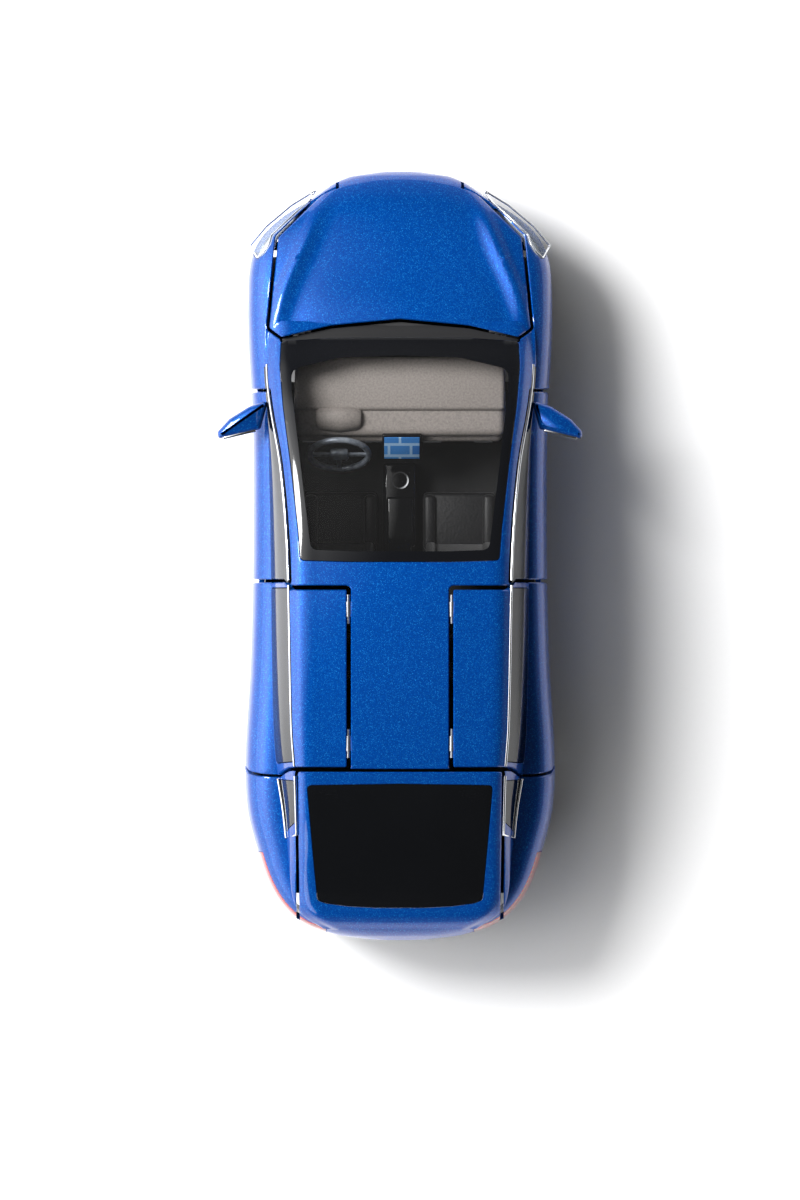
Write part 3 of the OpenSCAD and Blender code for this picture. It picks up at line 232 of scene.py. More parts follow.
def new_object(name, verts, faces):
    """A mesh object from places in nominal millimetres."""
    mesh = bpy.data.meshes.new(name)
    mesh.from_pydata([(x * SX * MM, y * SY * MM, z * SZ * MM) for x, y, z in verts], [], faces)
    piece = bpy.data.objects.new(name, mesh)
    bpy.context.scene.collection.objects.link(piece)
    return piece


def make_active(piece):
    deselect()
    piece.select_set(True)
    bpy.context.view_layer.objects.active = piece


def apply_modifier(piece, kind, **settings):
    make_active(piece)
    modifier = piece.modifiers.new(kind.title(), kind)
    for key, value in settings.items():
        setattr(modifier, key, value)
    bpy.ops.object.modifier_apply(modifier=modifier.name)


def carve(piece, cutter, operation="DIFFERENCE", keep=False):
    apply_modifier(piece, "BOOLEAN", object=cutter, operation=operation, solver="MANIFOLD")
    if not keep:
        bpy.data.objects.remove(cutter)
    if not piece.data.polygons:
        raise RuntimeError(f"{piece.name} was carved away")


def copy_of(piece, name):
    twin = piece.copy()
    twin.data = piece.data.copy()
    twin.name = name
    bpy.context.scene.collection.objects.link(twin)
    return twin


def mirrored(piece, name):
    """The same piece on the other side of the car, with its faces turned outwards."""
    twin = copy_of(piece, name)
    for vertex in twin.data.vertices:
        vertex.co.x = -vertex.co.x
    twin.data.flip_normals()
    return twin


def smooth(piece, degrees=32):
    make_active(piece)
    bpy.ops.object.shade_smooth_by_angle(angle=math.radians(degrees))


def joined(name, parts):
    """Joins parts into one piece, and leaves its place in its mesh."""
    make_active(parts[0])
    for part in parts[1:]:
        part.select_set(True)
    if len(parts) > 1:
        bpy.ops.object.join()
    piece = bpy.context.object
    bpy.ops.object.transform_apply(location=True, rotation=True, scale=True)
    piece.name = name
    return piece


def clean(piece, distance=0.002 * MM):
    make_active(piece)
    bpy.ops.object.mode_set(mode="EDIT")
    bpy.ops.mesh.select_all(action="SELECT")
    bpy.ops.mesh.remove_doubles(threshold=distance)
    bpy.ops.mesh.normals_make_consistent(inside=False)
    bpy.ops.object.mode_set(mode="OBJECT")
    return piece


def loft(name, stations, half_line, depth=0.0):
    """A closed solid through half sections, moved inwards by depth along its normals."""
    rows = []
    for u in stations:
        half = half_line(u)
        mirror = half[::-1] * [-1, 1]
        ring = np.vstack([half, mirror[:-1] if abs(half[0, 0]) < 1e-6 else mirror])
        rows.append(np.column_stack([ring[:, 0], np.full(len(ring), u), ring[:, 1]]))
    grid = np.array(rows)
    if depth:
        along = np.gradient(grid, axis=0)
        around = np.roll(grid, -1, axis=1) - np.roll(grid, 1, axis=1)
        normal = np.cross(around, along)
        normal /= np.linalg.norm(normal, axis=2, keepdims=True) + 1e-9
        grid = grid - normal * depth
        grid[:, :, 1] = np.clip(grid[:, :, 1], stations[0] + depth, stations[-1] - depth)
    count, size = grid.shape[:2]
    faces = [(i * size + j, (i + 1) * size + j, (i + 1) * size + (j + 1) % size, i * size + (j + 1) % size)
             for i in range(count - 1) for j in range(size)]
    faces.append(tuple(range(size)))
    faces.append(tuple(range(count * size - 1, (count - 1) * size - 1, -1)))
    piece = new_object(name, grid.reshape(-1, 3), faces)
    return clean(piece)


# ---- outlines and cutters ------------------------------------------------------------
def rounded(points, radius=0.9, spacing=1.2):
    """An outline with its corners rounded and its sides divided."""
    pts = [np.array(p, float) for p in points]
    line = []
    for before, here, after in zip(pts[-1:] + pts[:-1], pts, pts[1:] + pts[:1]):
        back, ahead = before - here, after - here
        la, lb = np.linalg.norm(back), np.linalg.norm(ahead)
        turn = math.acos(max(-1, min(1, -np.dot(back, ahead) / la / lb)))
        reach = min(radius * math.tan(turn / 2) + 0.05, la * 0.45, lb * 0.45)
        a, b = here + back / la * reach, here + ahead / lb * reach
        steps = 1 + int(turn / 0.25)
        for t in np.linspace(0, 1, steps + 1):
            line.append((1 - t) ** 2 * a + 2 * t * (1 - t) * here + t ** 2 * b)
    dense = []
    for a, b in zip(line, line[1:] + line[:1]):
        parts = max(1, int(np.linalg.norm(b - a) / spacing))
        dense += [a + (b - a) * t / parts for t in range(parts)]
    return np.array(dense)


def grown(outline, distance):
    """The outline moved outwards by a distance."""
    before, after = np.roll(outline, 1, 0), np.roll(outline, -1, 0)
    area = np.sum(outline[:, 0] * after[:, 1] - after[:, 0] * outline[:, 1])
    d1, d2 = outline - before, after - outline
    d1 /= np.linalg.norm(d1, axis=1, keepdims=True) + 1e-9
    d2 /= np.linalg.norm(d2, axis=1, keepdims=True) + 1e-9
    n1, n2 = (np.column_stack([d[:, 1], -d[:, 0]]) for d in (d1, d2))
    normal = n1 + n2
    normal /= np.linalg.norm(normal, axis=1, keepdims=True) + 1e-9
    reach = distance / np.maximum(np.sum(normal * n1, axis=1), 0.5)
    return outline + normal * (reach * (1 if area > 0 else -1))[:, None]


def cutter(outline, seen_from, deep, high, grow=0.0, lip=0.0, radius=0.9):
    """A prism through the bodywork, flared by lip where it meets the outer surface."""
    base = rounded(outline, radius)
    wide, narrow = grown(base, grow + lip), grown(base, grow)

    def surface(p):
        return top_z(p[0], p[1]) if seen_from == "above" else side_x(p[0], p[1])

    rings = [(wide, [high] * len(base))]
    if lip:
        depth = abs(lip)
        at = [surface(p) for p in wide]
        rings = [(wide, [high] * len(base)), (wide, [z + 0.02 for z in at]),
                 (narrow, [surface(p) - depth for p in narrow])]
    rings.append((narrow, [deep] * len(base)))
    verts = []
    for ring, heights in rings:
        for p, z in zip(ring, heights):
            verts.append((p[0], p[1], z) if seen_from == "above" else (z, p[0], p[1]))
    size = len(base)
    faces = [(i * size + j, i * size + (j + 1) % size, (i + 1) * size + (j + 1) % size, (i + 1) * size + j)
             for i in range(len(rings) - 1) for j in range(size)]
    faces.append(tuple(range(size - 1, -1, -1)))
    faces.append(tuple(range((len(rings) - 1) * size, len(rings) * size)))
    return clean(new_object("cutter", verts, faces), 1e-7)


def both(half):
    return list(half) + [(-x, u) for x, u in reversed(half) if x > 1e-6]


def rail_z(u):
    return curve(ROOF, u) - curve(RAIL_DROP, u)


def rail_line(u0, u1, rise, steps=14):
    return [(u, rail_z(u) + rise) for u in np.linspace(u0, u1, steps)]


BONNET = both([(13.2, -84), (13.4, -76.4), (16, -74), (18.2, -71.8), (25.1, -64.9), (26.9, -46),
               (24.1, -43.9), (14, -46.3), (0, -47.6)])
WINDSCREEN = both([(0, -44.2), (14, -44.0), (24.1, -43.4), (24.3, -38), (23.6, -30), (22, -18),
                   (20.5, -5), (20, 1.2), (10, 1.5)])
CLEAR = both([(0, -40.4), (12, -40.0), (22.0, -37.6), (21.9, -33), (21.0, -26), (19.8, -16), (18.3, -4),
              (17.9, -0.9), (9, -0.6)])
CLEAR_RADIUS = 2.2
COWL = both([(0, -44.25), (24.0, -43.45), (24.0, -43.85), (14, -46.0), (0, -47.3)])
COWL_OPENING = both([(0, -44.3), (24.1, -43.4), (24.1, -44.0), (14, -46.3), (0, -47.7)])
TAILGATE = both([(0, 43.45), (20.9, 43.45), (20.8, 58), (20.7, 71), (20.7, 84)])
REAR_GLASS = both([(0, 46.2), (18.7, 46.5), (17.6, 60), (16.7, 70.0), (15, 70.6), (10.5, 71.2), (5, 71.5)])
HEADLIGHT = [(16.6, -75.6), (22.4, -72), (27.6, -67.6), (31, -63.5), (29.2, -60.2), (27.6, -61.6),
             (26.4, -63.4), (25.9, -65.2), (18.8, -71.9)]
ROOF_DOOR = [(10.4, 6.8), (24.4, 6.8), (24.4, 43.1), (10.4, 43.1)]
DOOR_FRONT, DOOR_REAR, ROOF_SEAM, WING_REAR = -33.4, 5.3, 6.8, 43.1
FRONT_DOOR = [(DOOR_FRONT - 0.2, 9.8), (DOOR_REAR, 9.8), (DOOR_REAR, 46)] + rail_line(6.4, DOOR_FRONT, 0.1)
WING_SIDE = ([(DOOR_REAR, 9.8), (DOOR_REAR, 46)] + rail_line(ROOF_SEAM, WING_REAR, 0.1)
             + [(43.4, 44), (45, 36), (44.2, 31), (42.6, 26), (40, 9.8)])
FRONT_QUARTER = [(DOOR_FRONT - 0.3, 33.9), (-38.2, 33.7)] + rail_line(-38.2, DOOR_FRONT - 0.3, 0, 5)
REAR_QUARTER = [(45.6, 36.2)] + rail_line(45.6, 54, -0.5, 8) + [(56.3, 37.3)]
CAR_SIDES = (("left", 1), ("right", -1))


# ---- materials ------------------------------------------------------------------------
def add_node(tree, kind, settings=None, links=None):
    """Adds a node, sets its properties and input values, and links its inputs."""
    node = tree.nodes.new(kind)
    for key, value in (settings or {}).items():
        if isinstance(key, str) and hasattr(node, key) and key not in node.inputs:
            setattr(node, key, value)
        else:
            node.inputs[key].default_value = value
    for key, source in (links or {}).items():
        tree.links.new(source, node.inputs[key])
    return node


def rgba(value):
    return (*value, 1.0)


def new_material(name, **inputs):
    """A material with one Principled shader; the caller adds its pattern."""
    material = bpy.data.materials.new(name)
    material.use_nodes = True
    shader = material.node_tree.nodes["Principled BSDF"]
    for key, value in inputs.items():
        shader.inputs[key.replace("_", " ")].default_value = value
    place = add_node(material.node_tree, "ShaderNodeTexCoord")
    return material, material.node_tree, shader, place.outputs["Object"]


def ramp(tree, source, low, high, at=(0.0, 1.0)):
    node = add_node(tree, "ShaderNodeValToRGB", links={"Fac": source})
    node.color_ramp.elements[0].position, node.color_ramp.elements[1].position = at
    node.color_ramp.elements[0].color, node.color_ramp.elements[1].color = rgba(low), rgba(high)
    return node.outputs["Color"]


def bump(tree, shader, height, distance_mm, strength):
    node = add_node(tree, "ShaderNodeBump", {"Strength": strength, "Distance": distance_mm * MM},
                    {"Height": height})
    tree.links.new(node.outputs["Normal"], shader.inputs["Normal"])


def car_paint(sizes, colours):
    """Metallic blue lacquer under a deep, glassy clear coat: the bump tilts the flakes one by one, and the
    brightest cells of the flakes carry painted glints in the base colour.
    """
    material, tree, shader, place = new_material(
        "metallic_blue_lacquer", Metallic=0.35, Roughness=0.34, Coat_Weight=0.9, Coat_Roughness=0.06,
        Specular_IOR_Level=0.12, Specular_Tint=rgba(colours.flake_glint),
        Coat_IOR=1.5)
    cells = add_node(tree, "ShaderNodeTexVoronoi", {"Scale": 1 / sizes.flake_glint}, {"Vector": place})
    soft = add_node(tree, "ShaderNodeTexNoise", {"Scale": 0.35 / sizes.flake_glint, "Detail": 3.0}, {"Vector": place})
    split = add_node(tree, "ShaderNodeSeparateColor", links={"Color": cells.outputs["Color"]})
    base = ramp(tree, soft.outputs["Fac"], colours.paint_deep, colours.paint, (0.3, 0.7))
    # Painted glints: the brightest cells of the flakes take the bright flake colour in place of the flakes' real
    # sparkle of light.
    painted_glint = ramp(tree, split.outputs["Red"], (0, 0, 0), (1, 1, 1), (0.86, 1.0))
    mix = add_node(tree, "ShaderNodeMix", {"data_type": "RGBA"})
    tree.links.new(painted_glint, mix.inputs[0])
    tree.links.new(base, mix.inputs[6])
    mix.inputs[7].default_value = rgba(colours.flake_glint)
    tree.links.new(mix.outputs[2], shader.inputs["Base Color"])
    bump(tree, shader, split.outputs["Green"], 0.003, 0.2)
    return material


def gloss_black(colours):
    """Polished black ABS: a deep wet gloss with the faintest moulded ripple."""
    material, tree, shader, place = new_material(
        "gloss_black_abs", Roughness=0.08, IOR=1.5, Coat_Weight=0.4, Coat_Roughness=0.03)
    noise = add_node(tree, "ShaderNodeTexNoise", {"Scale": 60.0, "Detail": 2.0}, {"Vector": place})
    tone = ramp(tree, noise.outputs["Fac"], colours.gloss_black, [c * 1.5 for c in colours.gloss_black])
    tree.links.new(tone, shader.inputs["Base Color"])
    bump(tree, shader, noise.outputs["Fac"], 0.02, 0.1)
    return material


def satin_black(colours):
    """Spark-eroded black ABS: an even fine grain that kills the gloss."""
    material, tree, shader, place = new_material("satin_black_abs", Roughness=0.55, IOR=1.5)
    grain = add_node(tree, "ShaderNodeTexNoise", {"Scale": 1 / (0.35 * MM), "Detail": 4.0}, {"Vector": place})
    tone = ramp(tree, grain.outputs["Fac"], [c * 0.7 for c in colours.satin_black], colours.satin_black)
    tree.links.new(tone, shader.inputs["Base Color"])
    bump(tree, shader, grain.outputs["Fac"], 0.05, 0.4)
    return material


def leather_grain(colours):
    """Black vinyl moulded with a leather grain: soft pebbles with a dull sheen on top."""
    material, tree, shader, place = new_material("black_leather_grain", Roughness=0.5, IOR=1.5,
                                                 Sheen_Weight=0.15)
    cells = add_node(tree, "ShaderNodeTexVoronoi", {"Scale": 1 / (0.5 * MM), "feature": "SMOOTH_F1"},
                     {"Vector": place})
    tone = ramp(tree, cells.outputs["Distance"], [c * 1.6 for c in colours.leather], colours.leather)
    tree.links.new(tone, shader.inputs["Base Color"])
    bump(tree, shader, cells.outputs["Distance"], 0.08, 0.5)
    return material


def dash_plastic(colours):
    """Warm grey ABS with a dry, fine grain, slightly mottled."""
    material, tree, shader, place = new_material("warm_grey_abs", Roughness=0.6, IOR=1.5)
    grain = add_node(tree, "ShaderNodeTexNoise", {"Scale": 1 / (0.4 * MM), "Detail": 5.0}, {"Vector": place})
    tone = ramp(tree, grain.outputs["Fac"], [c * 0.75 for c in colours.dash], colours.dash, (0.3, 0.6))
    tree.links.new(tone, shader.inputs["Base Color"])
    bump(tree, shader, grain.outputs["Fac"], 0.05, 0.5)
    return material


def window_plastic(name, tint, alpha):
    """Clear polystyrene: see-through with a hard, narrow shine."""
    material, tree, shader, place = new_material(
        name, Roughness=0.04, IOR=1.55, Alpha=alpha, Specular_IOR_Level=0.3)
    noise = add_node(tree, "ShaderNodeTexNoise", {"Scale": 90.0, "Detail": 1.0}, {"Vector": place})
    tone = ramp(tree, noise.outputs["Fac"], tint, [c * 1.25 for c in tint])
    tree.links.new(tone, shader.inputs["Base Color"])
    return material


def chrome():
    """Vacuum-plated plastic: a bright mirror with faint drawn streaks in its roughness."""
    material, tree, shader, place = new_material(
        "bright_plating", Metallic=1.0, Base_Color=rgba(linear("E4E6EA")))
    streaks = add_node(tree, "ShaderNodeTexNoise", {"Scale": 1 / (0.8 * MM), "Detail": 3.0}, {"Vector": place})
    rough = add_node(tree, "ShaderNodeMapRange", {"To Min": 0.08, "To Max": 0.2},
                     {"Value": streaks.outputs["Fac"]})
    tree.links.new(rough.outputs["Result"], shader.inputs["Roughness"])
    return material


def silver():
    """Bright silver reflector: pressed foil with small facets that scatter its light."""
    material, tree, shader, place = new_material(
        "silver_reflector", Metallic=0.3, Roughness=0.3, Base_Color=rgba(linear("B9C0CA")))
    cells = add_node(tree, "ShaderNodeTexVoronoi", {"Scale": 1 / (1.1 * MM)}, {"Vector": place})
    tone = ramp(tree, cells.outputs["Distance"], linear("C6CED8"), linear("8C96A4"))
    tree.links.new(tone, shader.inputs["Base Color"])
    bump(tree, shader, cells.outputs["Distance"], 0.1, 0.6)
    return material


def steel():
    """Drawn steel wire: grey with fine lengthwise lines that stretch its highlights."""
    material, tree, shader, place = new_material(
        "drawn_steel", Metallic=1.0, Base_Color=rgba(linear("A9ABB0")))
    lines = add_node(tree, "ShaderNodeTexNoise", {"Scale": 1 / (0.3 * MM), "Detail": 6.0}, {"Vector": place})
    rough = add_node(tree, "ShaderNodeMapRange", {"To Min": 0.25, "To Max": 0.45},
                     {"Value": lines.outputs["Fac"]})
    tree.links.new(rough.outputs["Result"], shader.inputs["Roughness"])
    bump(tree, shader, lines.outputs["Fac"], 0.01, 0.3)
    return material


def tyre_rubber(colours):
    """Moulded rubber: nearly black, with a dusty, broken sheen."""
    material, tree, shader, place = new_material("moulded_rubber", Roughness=0.75, IOR=1.52,
                                                 Sheen_Weight=0.1)
    dust = add_node(tree, "ShaderNodeTexNoise", {"Scale": 1 / (0.6 * MM), "Detail": 6.0}, {"Vector": place})
    tone = ramp(tree, dust.outputs["Fac"], [c * 0.7 for c in colours.rubber], [c * 1.6 for c in colours.rubber],
                (0.35, 0.75))
    tree.links.new(tone, shader.inputs["Base Color"])
    bump(tree, shader, dust.outputs["Fac"], 0.04, 0.4)
    return material


def red_lamp(colours):
    """Red polycarbonate: saturated red with ribbed optics under a smooth face, and a faint emission that is a
    painted glow, since the moulded lamp gives no light.
    """
    material, tree, shader, place = new_material(
        "red_polycarbonate", Roughness=0.1, IOR=1.58, Coat_Weight=0.6,
        # Painted glow: the unlit red lens is given a faint emission.
        Emission_Strength=0.03, Emission_Color=rgba(linear("C8141C")))
    ribs = add_node(tree, "ShaderNodeTexWave", {"Scale": 1 / (3.0 * MM), "bands_direction": "Y"},
                    {"Vector": place})
    tone = ramp(tree, ribs.outputs["Fac"], [c * 0.6 for c in colours.red], colours.red)
    tree.links.new(tone, shader.inputs["Base Color"])
    return material


def nylon(colours):
    """Natural nylon: waxy, milky and faintly cloudy."""
    material, tree, shader, place = new_material("natural_nylon", Roughness=0.45, IOR=1.53)
    cloud = add_node(tree, "ShaderNodeTexNoise", {"Scale": 1 / (2.5 * MM), "Detail": 3.0}, {"Vector": place})
    tone = ramp(tree, cloud.outputs["Fac"], [c * 0.85 for c in colours.nylon], colours.nylon)
    tree.links.new(tone, shader.inputs["Base Color"])
    return material


def screen_print():
    """A printed blue picture behind clear film: plain tiles and lines of light, no lettering."""
    material, tree, shader, place = new_material(
        "printed_screen", Roughness=0.12, IOR=1.5, Coat_Weight=0.5)
    tiles = add_node(tree, "ShaderNodeTexBrick", {
        "Scale": 1 / (9.0 * MM), "Color1": rgba(linear("2C74C8")), "Color2": rgba(linear("4E97DE")),
        "Mortar": rgba(linear("A8D0F4")), "Mortar Size": 0.03}, {"Vector": place})
    tree.links.new(tiles.outputs["Color"], shader.inputs["Base Color"])
    return material


MATERIALS = {}


def make_materials():
    sizes, colours = bpy.context.scene.car_sizes, bpy.context.scene.car_colours
    MATERIALS.update(
        paint=car_paint(sizes, colours), gloss=gloss_black(colours), satin=satin_black(colours),
        leather=leather_grain(colours), dash=dash_plastic(colours),
        clear=window_plastic("clear_polystyrene", linear("2A2A2A"), 0.14),
        dark=window_plastic("smoked_polystyrene", linear("0B0C0E"), 0.96),
        lens=window_plastic("clear_lens", linear("DDE6EE"), 0.16),
        chrome=chrome(), silver=silver(), steel=steel(), rubber=tyre_rubber(colours), red=red_lamp(colours),
        nylon=nylon(colours), screen=screen_print())


def dress(piece, material, body, replaces=()):
    """Gives a piece its material, its body and the CAD nodes that it stands for."""
    piece.data.materials.clear()
    piece.data.materials.append(MATERIALS[material])
    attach(piece, body)
    if replaces:
        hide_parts(*replaces)
    return piece


# ---- bodywork ---------------------------------------------------------------------------
# Lofted sheet metal can't be drawn from primitives, so the shell is lofted through its
# sections and each panel is parted from it with a cutter.
SHELL = {}
OUT = 44.0


def stations(start, end, step):
    """Places along the car, closer together towards the nose and the tail."""
    count = int((end - start) / step)
    places = list(np.linspace(start, end, count + 1))
    extra = [start + d for d in (0.12, 0.3, 0.55, 0.85)] + [end - d for d in (0.12, 0.3, 0.55, 0.85)]
    return sorted(set(np.round(places + extra, 3)))


def make_shell():
    wall = bpy.context.scene.car_sizes.wall / MM
    low = stations(-78.5, 78.5, 1.0)
    high = stations(-47.5, 76, 1.0)
    shell = loft("shell", low, lower_half)
    carve(shell, loft("upper", high, lambda u: upper_half(u, 3)), "UNION")
    inner = loft("inner", low, lower_half, wall)
    carve(inner, loft("inner_upper", high, lambda u: upper_half(u, 10), wall), "UNION")
    SHELL["solid"] = copy_of(shell, "solid")
    carve(shell, inner)
    SHELL["shell"] = shell


def from_shell(name, *cutters):
    piece = copy_of(SHELL["shell"], name)
    for part in cutters:
        carve(piece, part, "INTERSECT")
    return piece


def arch(radius, node):
    low, high = (Vector(c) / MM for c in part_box(node))
    bpy.ops.mesh.primitive_cylinder_add(
        vertices=160, radius=radius * MM, depth=90 * MM,
        location=(0, (low.y + high.y) / 2 * MM, (low.z + high.z) / 2 * MM), rotation=(0, math.pi / 2, 0))
    bpy.ops.object.transform_apply(location=True, rotation=True, scale=True)
    return bpy.context.object


def block(low, high):
    """A plain box between two corners in nominal millimetres, used for cutting."""
    x0, y0, z0, x1, y1, z1 = *low, *high
    verts = [(x, y, z) for x in (x0, x1) for y in (y0, y1) for z in (z0, z1)]
    faces = [(0, 1, 3, 2), (4, 6, 7, 5), (0, 4, 5, 1), (2, 3, 7, 6), (0, 2, 6, 4), (1, 5, 7, 3)]
    return new_object("block", verts, faces)


def flip(piece):
    twin = mirrored(piece, piece.name)
    bpy.data.objects.remove(piece)
    return twin


def on_side(piece, sign):
    return piece if sign > 0 else flip(piece)


def for_side(sign, *pieces):
    """The left side's pieces as they are, or mirrored copies of them for the right side."""
    return [p if sign > 0 else mirrored(p, p.name.replace("left", "right")) for p in pieces]


ARCH_RADIUS = 13.6


def bonnet_cutter(grow, lip):
    """The bonnet's prism, kept clear of the steep cheeks beside the nose."""
    tool = cutter(BONNET, "above", 17 - grow, 70, grow, lip)
    for _, sign in CAR_SIDES:
        carve(tool, on_side(block((12.8 + grow, -90, 0), (60, -70.5 - grow, 24.8 - grow)), sign))
    return tool


def make_body(seam, lip):
    body = copy_of(SHELL["shell"], "car_body_shell")
    carve(body, bonnet_cutter(seam, lip))
    carve(body, cutter(COWL_OPENING, "above", 25, 70, seam, 0, 0.2))
    carve(body, cutter(WINDSCREEN, "above", 25, 70, 0.06, 0.1))
    carve(body, cutter(TAILGATE, "above", 22.5 - seam, 70, seam, lip))
    for _, sign in CAR_SIDES:
        carve(body, on_side(cutter(ROOF_DOOR, "above", 44, 70, seam + 0.25, lip, 0.5), sign))
        carve(body, on_side(cutter(FRONT_DOOR, "side", 12, OUT, seam, lip), sign))
        carve(body, on_side(cutter(WING_SIDE, "side", 12, OUT, seam, lip), sign))
        carve(body, on_side(cutter(FRONT_QUARTER, "side", 20, OUT, 0.03, 0, 0.3), sign))
        carve(body, on_side(cutter(REAR_QUARTER, "side", 17, OUT, 0.05, 0.1, 0.4), sign))
        carve(body, on_side(cutter(HEADLIGHT, "above", 22.4, 70, 0.08, 0.12, 0.5), sign))
        carve(body, on_side(block((21.0, 60.4, 26.9), (40, 90, 31.9)), sign))
    for node in ("front_axle", "rear_axle"):
        carve(body, arch(ARCH_RADIUS, node))
    carve(body, block((-15.1, -90, 10.3), (15.1, -72.5, 14.1)))
    carve(body, block((-19.1, 70.5, 8.9), (19.1, 90, 15.1)))
    floor_line = both([(0, -74)] + [(curve(HALF_W, u) - 2.0, u) for u in np.linspace(-73, 73, 30)] + [(0, 74)])
    carve(body, cutter(floor_line, "above", -1, 9, 0, 0, 0.3))
    smooth(body)
    dress(body, "paint", "root", ["body_shell"])


class CAR_OT_bodywork(bpy.types.Operator):
    """Makes the painted shell, bonnet, doors, wing doors and tailgate"""
    bl_idname = "car.bodywork"
    bl_label = "Bodywork"

    def execute(self, context):
        sizes = context.scene.car_sizes
        seam, lip = sizes.seam / MM / 2, sizes.lip / MM
        make_shell()
        make_body(seam, lip)
        bonnet = from_shell("car_bonnet", bonnet_cutter(-seam, -lip))
        tailgate = from_shell("car_tailgate", cutter(TAILGATE, "above", 22.5 + seam, 70, -seam, -lip))
        carve(tailgate, cutter(REAR_GLASS, "above", 34, 70, 0.05, 0.1))
        for sign in (1, -1):
            carve(tailgate, on_side(block((15, 66.4, 26.9), (40, 90, 31.9)), sign))
        smooth(bonnet)
        smooth(tailgate)
        dress(bonnet, "paint", "bonnet_lid", ["bonnet"])
        dress(tailgate, "paint", "rear_lid", ["tailgate"])
        door = from_shell("car_front_door_left", cutter(FRONT_DOOR, "side", 12, OUT, -seam, -lip))
        carve(door, block((0, -60, 34.0), (60, 60, 60)))
        carve(door, arch(ARCH_RADIUS + 1.4, "front_axle"))
        smooth(door)
        side = from_shell("car_wing_door_left", cutter(WING_SIDE, "side", 12, OUT, -seam, -lip))
        window = cutter([(6.7, 34.9), (42.4, 35.8)] + rail_line(41.8, 6.7, -0.5, 8), "side", 12, OUT, 0,
                        0.12, 0.8)
        carve(side, window)
        carve(side, arch(ARCH_RADIUS, "rear_axle"))
        roof = from_shell("car_wing_roof_left", cutter(ROOF_DOOR, "above", 44, 70, -seam - 0.02, -lip, 0.7))
        carve(roof, cutter(rail_line(-2, 50, 0.1) + [(50, 70), (-2, 70)], "side", 5, OUT, 0, 0, 0.2),
              "INTERSECT")
        smooth(side)
        smooth(roof)
        for name, sign in CAR_SIDES:
            wing, panel, front = for_side(sign, side, roof, door)
            dress(front, "paint", f"door_{name}", [f"front_door_{name}"])
            dress(wing, "paint", f"wing_{name}", [f"wing_door_{name}"])
            dress(panel, "paint", f"wing_{name}", [f"wing_door_{name}"])
        return {"FINISHED"}


class CAR_OT_glazing(bpy.types.Operator):
    """Makes the windscreen with its printed border, the side windows and the rear glass"""
    bl_idname = "car.glazing"
    bl_label = "Glazing"

    def execute(self, context):
        screen = from_shell("windscreen_clear", cutter(CLEAR, "above", 20, 70, 0, 0, CLEAR_RADIUS))
        border = from_shell("windscreen_border", cutter(WINDSCREEN, "above", 20, 70, 0, -0.1))
        carve(border, cutter(CLEAR, "above", 15, 75, 0.0, 0, CLEAR_RADIUS))
        for piece in (screen, border):
            carve(piece, block((-60, -60, 33.2), (60, 60, 70)), "INTERSECT")
            smooth(piece)
        dress(screen, "clear", "root", ["windscreen"])
        dress(border, "gloss", "root", ["windscreen"])
        rear = from_shell("rear_window", cutter(REAR_GLASS, "above", 34, 70, 0, -0.1))
        smooth(rear)
        dress(rear, "dark", "rear_lid", ["rear_glass"])
        cowl = from_shell("cowl", cutter(COWL, "above", 30, 70, 0, 0, 0.2))
        for vertex in cowl.data.vertices:
            vertex.co.z -= 1.7 * MM
        smooth(cowl)
        dress(cowl, "satin", "root", ["cowl_panel"])
        glass = from_shell("front_door_window_left", cutter(FRONT_DOOR, "side", 12, OUT, -0.35, -0.1))
        carve(glass, block((0, -60, 34.05), (60, 60, 60)), "INTERSECT")
        smooth(glass)
        window = [(6.8, 34.9), (42.3, 35.8)] + rail_line(41.7, 6.8, -0.6, 8)
        pane = from_shell("wing_door_window_left", cutter(window, "side", 12, OUT, -0.05, 0, 0.8))
        smooth(pane)
        for name, sign in CAR_SIDES:
            front, wing = for_side(sign, glass, pane)
            dress(front, "dark", f"door_{name}", [f"front_door_glass_{name}"])
            dress(wing, "dark", f"wing_{name}", [f"wing_door_glass_{name}"])
        quarters = []
        for outline in (FRONT_QUARTER, REAR_QUARTER):
            part = from_shell("quarter", cutter(outline, "side", 17, OUT, -0.04, 0, 0.3))
            quarters += [part, mirrored(part, "quarter_twin")]
        quarter = joined("quarter_window_set", quarters)
        smooth(quarter)
        dress(quarter, "dark", "root", ["quarter_windows"])
        return {"FINISHED"}


def swept_line(name, places, radius):
    """A bright line of round section along places in nominal millimetres."""
    data = bpy.data.curves.new(name, "CURVE")
    data.dimensions = "3D"
    data.bevel_depth = radius
    data.bevel_resolution = 3
    data.use_fill_caps = True
    spline = data.splines.new("POLY")
    spline.points.add(len(places) - 1)
    for point, (x, y, z) in zip(spline.points, places):
        point.co = (x * SX * MM, y * SY * MM, z * SZ * MM, 1)
    piece = bpy.data.objects.new(name, data)
    bpy.context.scene.collection.objects.link(piece)
    make_active(piece)
    bpy.ops.object.convert(target="MESH")
    piece = bpy.context.object
    piece.name = name
    clean(piece)
    smooth(piece, 50)
    return piece


def rail_places(u0, u1, sign, steps=60, low=0.12):
    return [(sign * (curve(RAIL_X, u) - 0.02), u, rail_z(u) - low) for u in np.linspace(u0, u1, steps)]


